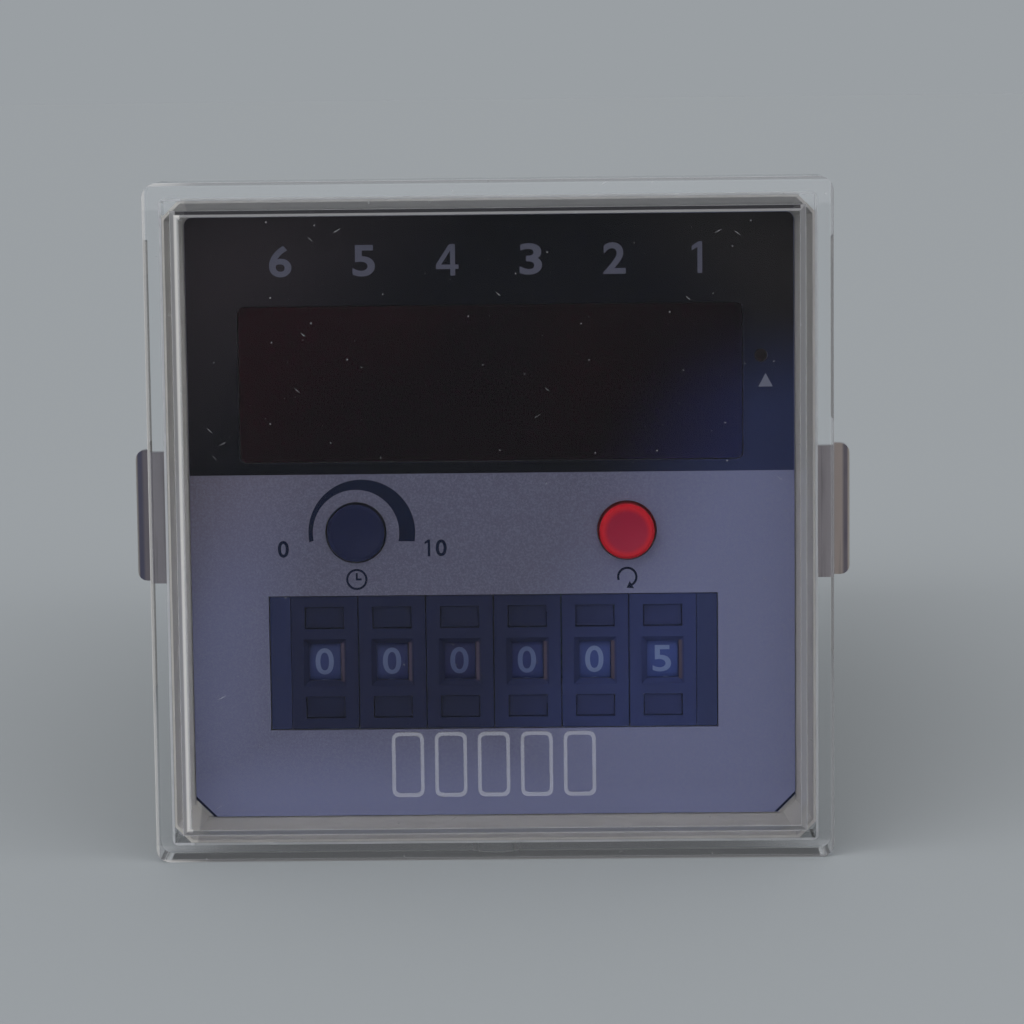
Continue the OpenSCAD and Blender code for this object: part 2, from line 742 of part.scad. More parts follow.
// Laminated core with two windows for the coil
module transformer_core() {
    z = main_top + core_h / 2;
    color([0.35, 0.35, 0.38]) difference() {
        slab(core_w, core_h, core_y - core_l / 2, core_y + core_l / 2, z, core_x);
        for (s = [-1, 1])
            slab(coil_window_w, core_h - 2 * leg_w, core_y - core_l, core_y + core_l,
                 z, core_x + s * (mid_leg_w + coil_window_w) / 2);
    }
}

// Winding round the middle leg
module transformer_coil() {
    h = core_h - 2 * leg_w - 0.6;
    z = main_top + core_h / 2;
    w = mid_leg_w + 2 * coil_window_w - 0.6;
    l = core_l + 2 * coil_over;
    color([0.65, 0.4, 0.2]) difference() {
        slab(w, h, core_y - l / 2, core_y + l / 2, z, core_x);
        slab(mid_leg_w + 0.3, h + 1, core_y - core_l / 2 - 0.15, core_y + core_l / 2 + 0.15, z, core_x);
    }
}

module relay() {
    y1 = main_y1 - edge_gap;
    color([0.1, 0.2, 0.55])
        block(relay_x0, relay_x0 + relay_w, y1 - relay_l, y1, main_top, main_top + relay_h);
}

module filter_capacitor() {
    color([0.12, 0.12, 0.35])
        translate([capacitor_x, main_y0 + edge_gap + capacitor_r, main_top])
            cylinder(h = capacitor_h, r = capacitor_r);
}

module processor_chip() {
    y0 = main_y0 + edge_gap;
    color([0.08, 0.08, 0.08])
        block(chip_x0, chip_x0 + chip_w, y0, y0 + chip_l, main_top, main_top + chip_h);
}

// Form of the case: square behind the panel, then a slope to a lower rear part.
// It reaches longer by over at each end when it is cut out of another form.
module case_form(w, front_h, back_h, r, over) {
    y0 = -case_seat - over;
    y1 = collar_len;
    y2 = collar_len + step_len;
    prism(y0, y1 + 0.01) polygon(even_outline(w, front_h, r, 1));
    hull() {
        prism(y1, y1 + 0.01) polygon(even_outline(w, front_h, r, 1));
        prism(y2, y2 + 0.01) polygon(even_outline(w, back_h, r, 1));
    }
    prism(y2, case_y1 + over) polygon(even_outline(w, back_h, r, 1));
}
// Square tube with side channels, vents, rails for the main board and bosses for the rear screws
module case_shell() {
    color([0.45, 0.45, 0.44]) difference() {
        union() {
            difference() {
                case_form(case_w, case_w, rear_h, case_round, 0);
                case_form(case_in_w, case_in_w, rear_h - 2 * case_wall, 0.2, 1);
            }
            for (s = [-1, 1]) scale_x(s) {
                block(channel_in, case_w / 2 - 0.2, wall_back + 0.1, case_y1,
                      -channel_h / 2 - case_wall, channel_h / 2 + case_wall);
                board_rail();
            }
            for (p = corners) round_bar(boss_r, case_y1 - boss_len, case_y1, p[0], p[1]);
        }
        for (s = [-1, 1]) scale_x(s) {
            block(channel_floor, case_w, -case_seat - cut, web_y0, -channel_h / 2, channel_h / 2);
            block(channel_floor, case_w, web_y1, case_y1 + cut, -channel_h / 2, channel_h / 2);
            block(screw_x, case_w, web_y0 - cut, web_y1 + cut, -neck_r - 0.1, neck_r + 0.1);
            round_bar(neck_r + 0.1, web_y0 - cut, web_y1 + cut, screw_x, 0);
        }
        for (p = corners)
            round_bar(rear_screw_r + 0.05, case_y1 - boss_len + 4, case_y1 + cut, p[0], p[1]);
        for (x = [-tab_x, tab_x], s = [-1, 1])
            slab(nub_w + 0.6, 4 * case_wall, nub_y0 - 0.2, nub_y1 + 0.3, s * case_w / 2, x);
        vents();
    }
}
neck_r = screw_r - 0.1;
// Two ribs that hold one edge of the main board
module board_rail() {
    x0 = case_in_w / 2 - rail_depth;
    for (z = [main_z - 0.1 - 1.2, main_top + 0.1])
        block(x0, case_in_w / 2 + cut, main_y0, case_y1 - 2, z, z + 1.2);
}
// Rows of slots through the top and the bottom
module vents() {
    slot_l = 18;
    step = 5;
    y1 = case_y1 - boss_len - 7;
    for (k = [0:vent_count - 1], s = [-1, 1])
        slab(slot_l, rear_h + 2, y1 - k * step - vent_w, y1 - k * step, 0, s * (slot_l / 2 + 4));
}

// Rear plate with two rows of terminal bays between barriers
module terminal_block() {
    middle_h = 2 * row_in;
    color([0.12, 0.12, 0.13]) difference() {
        union() {
            prism(case_y1, plate_y1) polygon(even_outline(case_w, rear_h, case_round, 1));
            slab(neck_w, rear_h - 2 * case_wall - 2 * fit, case_y1 - 1.6, case_y1 + cut);
            slab(row_w, middle_h, plate_y1 - cut, barrier_y1 - 1);
            for (s = [-1, 1]) {
                slab(row_w, bay_h, plate_y1 - cut, floor_y, s * row_z);
                for (i = [0:terminals])
                    slab(barrier_t, bay_h, floor_y - cut, barrier_y1, s * row_z,
                         (i - terminals / 2) * terminal_pitch);
            }
        }
        for (s = [-1, 1]) scale_x(s)
            block(channel_floor, case_w, case_y1 - 2, plate_y1 + cut, -channel_h / 2, channel_h / 2);
        for (p = corners) round_bar(rear_screw_r + 0.35, case_y1 - 2, plate_y1 + cut, p[0], p[1]);
        for (p = terminal_places()) round_bar(stud_r + fit, case_y1 + 1, floor_y + cut, p[0], p[1]);
    }
}
function terminal_places() = [
    for (s = [-1, 1], i = [0:terminals - 1]) [(i - (terminals - 1) / 2) * terminal_pitch, s * row_z]];

// Square clamping plates under the terminal screws
module terminal_plates() {
    side = terminal_pitch - barrier_t - 1;
    color([0.72, 0.7, 0.62]) for (p = terminal_places()) difference() {
        slab(side, side, floor_y, floor_y + saddle_t, p[1], p[0]);
        round_bar(stud_r + fit, floor_y - cut, floor_y + saddle_t + cut, p[0], p[1]);
    }
}

module terminal_screws() {
    y0 = floor_y + saddle_t;
    y1 = y0 + 2.1;
    color([0.75, 0.75, 0.7]) for (p = terminal_places()) difference() {
        union() {
            round_bar(stud_r, case_y1 + 1.3, y0 + cut, p[0], p[1]);
            round_bar(terminal_head_r, y0, y1, p[0], p[1]);
        }
        slab(2 * terminal_head_r + 1, 0.9, y1 - 0.9, y1 + cut, p[1], p[0]);
    }
}

module rear_screws() {
    head_y1 = plate_y1 + 1.6;
    color([0.6, 0.6, 0.6]) for (p = corners) difference() {
        union() {
            round_bar(rear_screw_r, case_y1 - boss_len + 4.2, plate_y1 + cut, p[0], p[1]);
            round_bar(rear_head_r, plate_y1, head_y1, p[0], p[1]);
        }
        slab(2 * rear_head_r + 1, 0.7, head_y1 - 0.8, head_y1 + cut, p[1], p[0]);
    }
}

// Bent sheet steel clamp: foot on the panel, strip in the channel, lug with the thread
module clamp(s) {
    x1 = clamp_span / 2;
    bend = 0.8;
    color([0.65, 0.64, 0.62]) scale_x(s) difference() {
        union() {
            prism(foot_y, foot_y + clamp_t) translate([(foot_in_x + x1) / 2, 0])
                polygon(outline(x1 - foot_in_x, foot_h, [1, 0.3, 0.3, 1], [4, 1, 1, 4]));
            block(strip_x0, foot_in_x + 0.5, foot_y, foot_y + clamp_t, -strip_h / 2, strip_h / 2);
            block(strip_x0, strip_x1, foot_y, lug_y1, -strip_h / 2, strip_h / 2);
            block(channel_floor + 0.4, strip_x1, lug_y1 - clamp_t, lug_y1, -strip_h / 2, strip_h / 2);
            block(x1 - clamp_t, x1, foot_y + cut, foot_y + clamp_t + bend, 1 - foot_h / 2, foot_h / 2 - 1);
        }
        round_bar(screw_r + run, lug_y1 - clamp_t - cut, lug_y1 + cut, screw_x, 0);
    }
}

// Screw that turns in the web and moves the clamp along the channel
module jack_screw(s) {
    head_y0 = web_y1 + fit;
    head_y1 = head_y0 + screw_head_t;
    color([0.75, 0.73, 0.6]) scale_x(s) difference() {
        union() {
            round_bar(screw_r, screw_tip_y, collar_y0 + cut, screw_x, 0);
            round_bar(screw_r + 0.8, collar_y0, collar_y0 + collar_t, screw_x, 0);
            round_bar(neck_r, collar_y0 + collar_t - cut, head_y0 + cut, screw_x, 0);
            round_bar(screw_head_r, head_y0, head_y1, screw_x, 0);
        }
        slab(2 * screw_head_r + 1, 0.8, head_y1 - 1, head_y1 + cut, 0, screw_x);
    }
}

front_cover();
front_bezel();
face_sheet();
display_filter();
display_board();
board_screws();
indicator_lamp();
reset_button();
reset_switch();
time_knob();
potentiometer();
end_plate(-1);  // left_end_plate
end_plate(1);  // right_end_plate
tie_rods();
code_boards();
switch_board();
board_header();
main_board();
transformer_core();
transformer_coil();
relay();
filter_capacitor();
processor_chip();
case_shell();
terminal_block();
terminal_plates();
terminal_screws();
rear_screws();
clamp(-1);  // left_clamp
clamp(1);  // right_clamp
jack_screw(-1);  // left_jack_screw
jack_screw(1);  // right_jack_screw
for (k = [1:digits / 2]) {
    display_module(k);
}
for (k = [1:digits]) {
    switch_body(k);
    digit_wheel(k);
    step_button(k, 1);
    step_button(k, -1);
}
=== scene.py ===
import json
import math

import bmesh
import bpy
from mathutils import Matrix, Vector


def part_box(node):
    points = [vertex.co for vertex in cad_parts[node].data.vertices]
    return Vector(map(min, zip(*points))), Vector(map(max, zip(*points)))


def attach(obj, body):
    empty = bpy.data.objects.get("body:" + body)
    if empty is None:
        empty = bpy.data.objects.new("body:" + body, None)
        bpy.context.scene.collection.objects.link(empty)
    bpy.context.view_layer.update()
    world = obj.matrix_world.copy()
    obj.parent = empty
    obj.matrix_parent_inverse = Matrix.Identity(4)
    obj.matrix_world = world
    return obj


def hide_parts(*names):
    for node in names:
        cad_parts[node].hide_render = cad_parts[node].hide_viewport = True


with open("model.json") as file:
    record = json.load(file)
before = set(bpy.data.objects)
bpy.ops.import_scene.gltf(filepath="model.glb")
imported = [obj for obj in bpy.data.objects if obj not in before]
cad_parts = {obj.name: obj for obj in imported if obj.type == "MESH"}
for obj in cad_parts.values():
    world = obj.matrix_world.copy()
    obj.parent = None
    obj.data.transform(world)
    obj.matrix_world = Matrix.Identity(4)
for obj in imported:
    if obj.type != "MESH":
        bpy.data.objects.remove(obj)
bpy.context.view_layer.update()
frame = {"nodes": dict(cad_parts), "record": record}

MM = 0.001
NODES = frame["nodes"]
SLOT_OF = {part["node"]: part["material_slot"] for part in frame["record"]["subparts"]}

# the row of digit switches: its digits, the distance between two and the row's height
DIGITS = 6
SHOWN_DIGITS = "000005"
PITCH = 7.62 * MM
SWITCH_Z = -16.4 * MM


def srgb(r, g, b):
    """Linear colour from 0 to 255 display values."""
    def linear(v):
        v /= 255
        return v / 12.92 if v <= 0.04045 else ((v + 0.055) / 1.055) ** 2.4
    return (linear(r), linear(g), linear(b), 1.0)


def shade(color, factor):
    """A darker or lighter colour."""
    return tuple(min(1.0, c * factor) for c in color[:3]) + (1.0,)


WHITE = (1.0, 1.0, 1.0, 1.0)


# ---- finishes

class Number:
    """A number socket of a finish. Arithmetic on it adds Math nodes."""

    def __init__(self, finish, socket):
        self.finish = finish
        self.socket = socket

    def math(self, operation, *values):
        return self.finish.node("Math", {"operation": operation}, values)

    def __add__(self, other):
        return self.math("ADD", self, other)

    def __radd__(self, other):
        return self.math("ADD", other, self)

    def __sub__(self, other):
        return self.math("SUBTRACT", self, other)

    def __rsub__(self, other):
        return self.math("SUBTRACT", other, self)

    def __mul__(self, other):
        return self.math("MULTIPLY", self, other)

    def __rmul__(self, other):
        return self.math("MULTIPLY", other, self)

    def __truediv__(self, other):
        return self.math("DIVIDE", self, other)

    def __neg__(self):
        return self.math("MULTIPLY", self, -1.0)

    def __pow__(self, other):
        return self.math("POWER", self, other)

    def abs(self):
        return self.math("ABSOLUTE", self)

    def fraction(self):
        return self.math("FRACT", self)

    def sin(self):
        return self.math("SINE", self)

    def max(self, other):
        return self.math("MAXIMUM", self, other)

    def ramp(self, low, high):
        """0 below low and 1 above high, smooth between them."""
        return self.finish.node("MapRange", {"interpolation_type": "SMOOTHSTEP"},
                                (self, low, high, 0.0, 1.0))

    def strip(self, start, full, fade, end):
        """1 between full and fade, and 0 before start and after end."""
        return self.ramp(start, full) - self.ramp(fade, end)


class Finish:
    """A node material. Values that change over the surface come from Object coordinates."""

    def __init__(self, name, **fixed):
        self.material = bpy.data.materials.new(name)
        self.material.use_nodes = True
        self.tree = self.material.node_tree
        self.shader = self.tree.nodes["Principled BSDF"]
        for socket, value in fixed.items():
            self.shader.inputs[socket.replace("_", " ")].default_value = value
        self.place = self.node("TexCoord", out="Object")

    def node(self, kind, settings=None, values=(), out=0, **named):
        """Adds one node: its settings first, then its sockets by place or by name."""
        made = self.tree.nodes.new("ShaderNode" + kind)
        for key, value in (settings or {}).items():
            setattr(made, key, value)
        pairs = list(enumerate(values)) + [(k.replace("_", " "), v) for k, v in named.items()]
        for key, value in pairs:
            self.join(value, made.inputs[key])
        return Number(self, made.outputs[out])

    def join(self, value, socket):
        """Links a Number to a socket, or sets the socket to a plain value."""
        if isinstance(value, Number):
            self.tree.links.new(value.socket, socket)
        else:
            socket.default_value = value

    def set(self, **sockets):
        """Gives the shader's sockets their values or links."""
        for key, value in sockets.items():
            self.join(value, self.shader.inputs[key.replace("_", " ")])

    def noise(self, scale, detail=2.0, roughness=0.5, stretch=(1, 1, 1)):
        """Noise in 3-D; a stretch below 1 draws it out along that axis."""
        where = self.node("Mapping", values=(self.place, (0, 0, 0), (0, 0, 0), stretch))
        return self.node("TexNoise", Vector=where, Scale=scale, Detail=detail, Roughness=roughness)

    def dots(self, scale, radius, turn=0.0, length=1.0):
        """Scattered dots on the front, or with a length above 1 scratches that lean by turn."""
        x, _, z = self.axes()
        plane = self.node("CombineXYZ", values=(x, z, 0.0))
        lean = self.node("Mapping", {"vector_type": "TEXTURE"},
                         (plane, (0, 0, 0), (0, 0, turn), (length, 1, 1)))
        cells = self.node("TexVoronoi", {"feature": "F1", "voronoi_dimensions": "2D"},
                          Vector=lean, Scale=scale)
        return (radius * scale - cells).ramp(0.0, radius * scale / 2)

    def axes(self):
        """The surface point's X, Y and Z, in metres."""
        split = self.node("SeparateXYZ", values=(self.place,)).socket.node
        return [Number(self, split.outputs[k]) for k in range(3)]

    def cast(self):
        """Painted bluish reflection: from 0 to 1 towards the lower right of the face, where
        everything is painted bluer.
        """
        x, _, z = self.axes()
        return (x - z * 0.55).ramp(6 * MM, 27 * MM)

    def low_cast(self):
        """The painted bluish reflection of the dark upper part, gone towards the top."""
        z = self.axes()[2]
        return self.cast() * (1.0 - z.ramp(11 * MM, 24 * MM))

    def blend(self, share, first, second):
        """Colour that goes from first to second as share goes from 0 to 1."""
        mixed = self.tree.nodes.new("ShaderNodeMix")
        mixed.data_type = "RGBA"
        # a Mix node's colour inputs are its sockets 6 and 7, and its colour output is 2
        for key, value in ((0, share), (6, first), (7, second)):
            self.join(value, mixed.inputs[key])
        return Number(self, mixed.outputs[2])

    def bump(self, height, depth):
        """Normal of a relief that is depth metres high."""
        return self.node("Bump", Height=height, Distance=depth, Strength=1.0)


def moulded(name, color, roughness=0.5, grain=0.012 * MM, mottle=0.06, far=None, **fixed):
    """Moulded plastic: a fine grain, a faint mottle and slightly uneven gloss.

    The grain is a depth, and the mottle a share of the colour. With far, the colour goes over
    to that one towards the lower right of the face, as a painted bluish reflection.
    """
    f = Finish(name, **fixed)
    fine, broad = f.noise(3200.0, 3.0), f.noise(60.0, 2.0)
    if far:
        # far is a painted bluish reflection, growing towards the lower right
        ground = f.blend(broad * mottle, f.blend(f.cast(), color, far), WHITE)
    else:
        ground = f.blend(broad, shade(color, 1 - mottle), shade(color, 1 + mottle))
    f.set(Base_Color=ground, Roughness=roughness - 0.06 + broad * 0.12 + (fine - 0.5) * 0.08,
          Normal=f.bump(fine, grain))
    return f.material


def plated(name, color, roughness=0.34, along="y"):
    """Plated or turned metal with fine drawing lines along X or Y."""
    f = Finish(name, Metallic=1.0)
    stretch = (0.03, 1, 1) if along == "x" else (1, 0.03, 1)
    lines, cloud = f.noise(2600.0, 3.0, 0.6, stretch), f.noise(170.0, 3.0)
    f.set(Base_Color=f.blend(cloud, shade(color, 0.86), shade(color, 1.08)),
          Roughness=roughness - 0.1 + cloud * 0.16 + lines * 0.06,
          Normal=f.bump(lines, 0.006 * MM))
    return f.material


def face_finish():
    """Printed sheet: satin, with a slight silver flake. Its paler sides and foot and its bluer
    lower right are painted reflection; its upper left is a warmer grey.
    """
    f = Finish("face_print", Specular_IOR_Level=0.15)
    x, _, z = f.axes()
    # painted reflection: the sides and foot are painted paler and the lower right bluer
    sides = (x + 3 * MM).abs().ramp(16 * MM, 30 * MM) * 0.75
    foot = (-z).ramp(20 * MM, 33 * MM)
    painted_light = sides.max(foot).max(f.cast() * 0.9)
    upper_left = (z - x).ramp(15 * MM, 40 * MM)
    ground = f.blend(painted_light, srgb(102, 101, 125), srgb(129, 133, 173))
    ground = f.blend(upper_left, ground, srgb(112, 106, 124))
    flake = f.noise(5200.0, 1.0)
    f.set(Base_Color=f.blend(flake.ramp(0.35, 0.75) * 0.3, ground, srgb(142, 146, 170)),
          Roughness=0.46 + flake * 0.1, Normal=f.bump(flake, 0.004 * MM))
    return f.material


def clear_finish():
    """Clear moulded cover: dust and scratches on its front, and painted light on its edges and rib
    frames.

    A dull film lies over the clear plastic. It carries the dust and scratches, painted highlights
    on the plateau's bevel, the rims, the rib frames and the front's top strip, painted light on the
    plate's edge, the underside and the lower wall, and painted shade on the bevel's top. Its masks
    follow the edge of the cover's raised plateau, with the bevel outside it, and the cover's outer
    rim.
    """
    f = Finish("clear_plastic", IOR=1.49, Transmission_Weight=1.0,
               Specular_Tint=(0.3, 0.3, 0.3, 1.0), Base_Color=(0.97, 0.975, 0.98, 1.0))
    low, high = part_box("front_cover")
    rim, plateau = high.x, 34.2 * MM
    x, y, z = f.axes()
    # depth runs back from the front, and reach runs out from the middle to all four sides
    depth, reach = y - low.y, x.abs().max(z.abs())
    beyond, above = reach - plateau, z - plateau
    on_front = 1.0 - depth.ramp(0.9 * MM, 1.2 * MM)

    dusty = f.noise(90.0, 1.0) + z.ramp(2 * MM, 30 * MM) * 0.22
    specks = f.dots(140.0, 0.11 * MM).max(f.dots(230.0, 0.07 * MM) * 0.5) * dusty.ramp(0.42, 0.62)
    hairs = f.dots(160.0, 0.055 * MM, -0.7, 8.0).max(f.dots(145.0, 0.055 * MM, 0.5, 10.0))
    hairs = hairs * dusty.ramp(0.4, 0.6)
    # painted highlight: the rib frames' tops are whitened
    ribs = 1.0 - depth.ramp(0.12 * MM, 0.19 * MM)

    # painted light from the left, on the left bevel and the left rim
    left, left_rim = (-x).ramp(33.7 * MM, 33.8 * MM), (-x).ramp(31 * MM, 37 * MM)
    # painted highlight on the plateau's bevel; on the top side only its thin inner line keeps it
    bevel = beyond.strip(-0.05 * MM, 0.05 * MM, 0.6 * MM, 0.75 * MM)
    bevel_line = beyond.strip(-0.05 * MM, 0.05 * MM, 0.2 * MM, 0.3 * MM)
    glow = left * beyond.strip(-0.45 * MM, 0.0, 0.15 * MM, 0.3 * MM)
    top = above.ramp(0.0, 0.15 * MM) * (1.0 - (x.abs() - plateau).ramp(0.0, 0.15 * MM))
    # painted light on the front's top strip, above the plateau
    top_painted_light = above.ramp(0.7 * MM, 0.9 * MM) * 0.09
    # painted glint on the front's outer rim
    rim_glint = reach.ramp(rim - 0.4 * MM, rim - 0.25 * MM)
    # painted light on the front plate's edge
    plate_edge = reach.ramp(rim - 0.1 * MM, rim - 0.02 * MM) * (-y).ramp(6.4 * MM, 6.7 * MM)
    # painted glint on the inner edge of the rim, brighter on the left
    inner_edge = (reach.strip(35.85 * MM, 35.95 * MM, 36.3 * MM, 36.4 * MM)
                  * y.strip(-6.75 * MM, -6.7 * MM, -6.3 * MM, -6.2 * MM))
    # painted light on the underside and the lower inner wall; the underside is also rougher
    underside = (-z).ramp(rim - 0.3 * MM, rim - 0.05 * MM)
    low_wall = (-z).ramp(35.9 * MM, 36.05 * MM) * 0.12

    # share of the dull film: real specks and hairs, and painted light on the edges and strips
    dust_and_painted_light = (specks * 0.26 + hairs * 0.24 + bevel.max(glow) * 0.8 + rim_glint * 0.4 + top_painted_light) * on_front
    dust_and_painted_light = dust_and_painted_light + ribs * 0.22 + inner_edge * (left * 0.3 + 0.6)
    dust_and_painted_light = dust_and_painted_light + (plate_edge.max(underside) * 0.3).max(low_wall)

    # film colours: pale for dust and painted light, grey on painted edges, lit on the left, painted
    # shade on the top bevel
    dust_and_light_color, edge_grey = (0.8, 0.82, 0.86, 1.0), (0.26, 0.26, 0.27, 1.0)
    lit_edge, shaded_edge = (0.66, 0.65, 0.64, 1.0), (0.03, 0.03, 0.035, 1.0)
    edge = f.blend(glow.max(left_rim * rim_glint), edge_grey, lit_edge)
    edge = f.blend(top * (bevel - bevel_line), edge, shaded_edge)
    on_edges = bevel.max(rim_glint).max(glow) * on_front
    dull = f.node("BsdfPrincipled", Base_Color=f.blend(on_edges, dust_and_light_color, edge),
                  Roughness=0.7, Specular_IOR_Level=0.2)

    f.set(Roughness=underside * 0.3 + 0.015)
    mixed = f.tree.nodes.new("ShaderNodeMixShader")
    f.join(dust_and_painted_light, mixed.inputs[0])
    f.tree.links.new(f.shader.outputs[0], mixed.inputs[1])
    f.join(dull, mixed.inputs[2])
    f.tree.links.new(mixed.outputs[0], f.tree.nodes["Material Output"].inputs["Surface"])
    return f.material


def filter_finish():
    """Dark red filter: redder at its upper left and in faint clouds, with a painted bluish
    reflection at its lower right.
    """
    f = Finish("red_filter", Specular_IOR_Level=0.04)
    cloud = f.noise(38.0, 1.0)
    x, _, z = f.axes()
    ground = f.blend((z - x).ramp(20 * MM, 50 * MM), srgb(16, 1, 9), srgb(34, 3, 13))
    ground = f.blend(cloud.ramp(0.45, 0.7) * 0.6, ground, srgb(34, 3, 6))
    # painted bluish reflection towards the lower right
    f.set(Base_Color=f.blend(f.low_cast(), ground, srgb(36, 40, 82)), Roughness=0.2 + cloud * 0.08)
    return f.material


def switch_finish():
    """Digit switch: dark blue moulding, with a painted warm highlight on its right window walls and
    a painted bluish reflection towards the lower right.
    """
    f = Finish("switch_blue", Specular_IOR_Level=0.12)
    x, y, z = f.axes()
    low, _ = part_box("switch_body_1")
    across = (x / PITCH).fraction() * PITCH - PITCH / 2     # from the middle of its own switch
    # painted highlight: the right wall of each window is painted warm, as if lit from the left
    wall_highlight = across.strip(1.72 * MM, 1.8 * MM, 2.1 * MM, 2.25 * MM)
    wall_highlight = wall_highlight * (y - low.y).ramp(0.06 * MM, 0.12 * MM)
    wall_highlight = wall_highlight * (1.0 - (z - SWITCH_Z).abs().ramp(2.1 * MM, 2.3 * MM))
    fine, broad = f.noise(3200.0, 3.0), f.noise(60.0, 2.0)
    ground = f.blend(f.cast(), srgb(33, 38, 72), srgb(52, 62, 112))
    ground = f.blend(wall_highlight, ground, srgb(88, 78, 96))
    f.set(Base_Color=ground, Roughness=0.4 + broad * 0.12, Normal=f.bump(fine, 0.008 * MM))
    return f.material


def wheel_finish(name, left, middle, right):
    """Digit wheel or its figures, with painted light along the row: lighter at its ends, in painted
    shade in its middle and with a painted bluish reflection at its right end.
    """
    f = Finish(name, Specular_IOR_Level=0.1)
    # painted light and shade along the row: the ends lighter, the middle darker
    lit_ends = (f.axes()[0] + 2 * MM).abs().ramp(5 * MM, 13 * MM)
    fine, broad = f.noise(3200.0, 3.0), f.noise(60.0, 2.0)
    ground = f.blend(f.cast(), f.blend(lit_ends, middle, left), right)
    f.set(Base_Color=f.blend(broad * 0.02, ground, WHITE),
          Roughness=0.34 + broad * 0.12, Normal=f.bump(fine, 0.005 * MM))
    return f.material


def clamp_finish():
    """Plated clamp: drawn lines up its foot, with painted light: the right clamp lighter and warmer
    than the left, a painted dark reflection along the outer edge and a painted highlight on the
    rim.
    """
    f = Finish("clamp_steel", Metallic=1.0)
    x = f.axes()[0]
    _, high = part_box("right_clamp")
    inside = high.x - x.abs()
    lines, cloud = f.noise(2600.0, 3.0, 0.6, (1, 1, 0.03)), f.noise(170.0, 3.0)
    # painted light: the right clamp is painted lighter and warmer than the left, each foot's outer
    # part toned apart
    right = x.ramp(-5 * MM, 5 * MM)
    outer = f.blend(right, srgb(126, 120, 126), srgb(190, 174, 167))
    inner = f.blend(right, srgb(152, 147, 152), srgb(176, 167, 170))
    ground = f.blend(inside.ramp(1.5 * MM, 2.0 * MM), outer, inner)
    # painted dark reflection along the outer edge, and below it a painted highlight on the rim
    edge_reflection = inside.strip(0.15 * MM, 0.3 * MM, 0.55 * MM, 0.95 * MM)
    rim = 1.0 - inside.ramp(0.08 * MM, 0.2 * MM)
    ground = f.blend(edge_reflection * (0.45 + cloud * 0.4), ground, srgb(72, 76, 104))
    ground = f.blend((lines - 0.5).ramp(0.0, 0.25) * 0.35, ground, srgb(96, 90, 94))
    f.set(Base_Color=f.blend(rim * 0.5, ground, srgb(196, 190, 180)),
          Roughness=0.27 + cloud * 0.16 + lines * 0.06, Normal=f.bump(lines, 0.006 * MM))
    return f.material


def bezel_finish():
    """Satin grey moulding, with painted light that makes it paler along its left side."""
    f = Finish("bezel_grey", Specular_IOR_Level=0.3)
    grey = srgb(196, 193, 191)
    fine, broad = f.noise(3200.0, 3.0), f.noise(60.0, 2.0)
    # painted light from the left: the left side is painted paler
    painted_light = (-f.axes()[0]).ramp(33.2 * MM, 33.5 * MM) * 0.8
    ground = f.blend(painted_light, grey, srgb(240, 236, 230))
    f.set(Base_Color=f.blend(broad * 0.12, ground, shade(grey, 0.6)),
          Roughness=0.44 + broad * 0.12 + (fine - 0.5) * 0.08, Normal=f.bump(fine, 0.012 * MM))
    return f.material


def reset_finish():
    """Red cap: its rim is painted brighter and its dished middle darker, as painted light and shade
    of the dish.
    """
    f = Finish("reset_red", Specular_IOR_Level=0.2)
    x, _, z = f.axes()
    low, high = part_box("reset_button")
    out_x, out_z = x - (low.x + high.x) / 2, z - (low.z + high.z) / 2
    # painted light and shade of the dish: the rim brighter, the middle darker
    rim = ((out_x * out_x + out_z * out_z) ** 0.5).ramp(2.0 * MM, 2.75 * MM)
    broad = f.noise(300.0, 2.0)
    f.set(Base_Color=f.blend(rim, srgb(176, 20, 62), srgb(222, 22, 44)),
          Roughness=0.38 + broad * 0.1, Normal=f.bump(f.noise(3200.0, 3.0), 0.005 * MM))
    return f.material


def board_finish():
    """Circuit board: solder mask over tracks and pads."""
    f = Finish("board_green", Coat_Weight=0.3)
    x, y, z = f.axes()
    tracks = ((x + z) * 2600.0).sin() * ((y - z) * 1900.0).sin()
    track = tracks.ramp(0.25, 0.4) * f.noise(120.0, 1.0).ramp(0.45, 0.55)
    mask = f.blend(f.noise(90.0), srgb(24, 74, 48), srgb(30, 88, 56))
    f.set(Base_Color=f.blend(track * 0.5, mask, srgb(70, 130, 76)), Roughness=0.42 - track * 0.1,
          Normal=f.bump(track, 0.03 * MM))
    return f.material


def core_finish():
    """Stacked laminations, seen as fine lines."""
    f = Finish("core_steel", Metallic=0.85)
    _, y, _ = f.axes()
    sheets = (y * 12500.0).sin()
    f.set(Base_Color=f.blend(sheets.ramp(-0.2, 0.8), srgb(52, 50, 50), srgb(104, 102, 98)),
          Roughness=0.5 + f.noise(300.0) * 0.15, Normal=f.bump(sheets, 0.03 * MM))
    return f.material


def coil_finish():
    """Yellow tape in overlapping turns."""
    f = Finish("coil_tape")
    _, y, _ = f.axes()
    turns = (y * 900.0).sin()
    f.set(Base_Color=f.blend(f.noise(200.0), srgb(188, 150, 52), srgb(206, 170, 70)),
          Roughness=0.4 + turns.ramp(0.7, 1.0) * 0.2, Normal=f.bump(turns, 0.05 * MM))
    return f.material


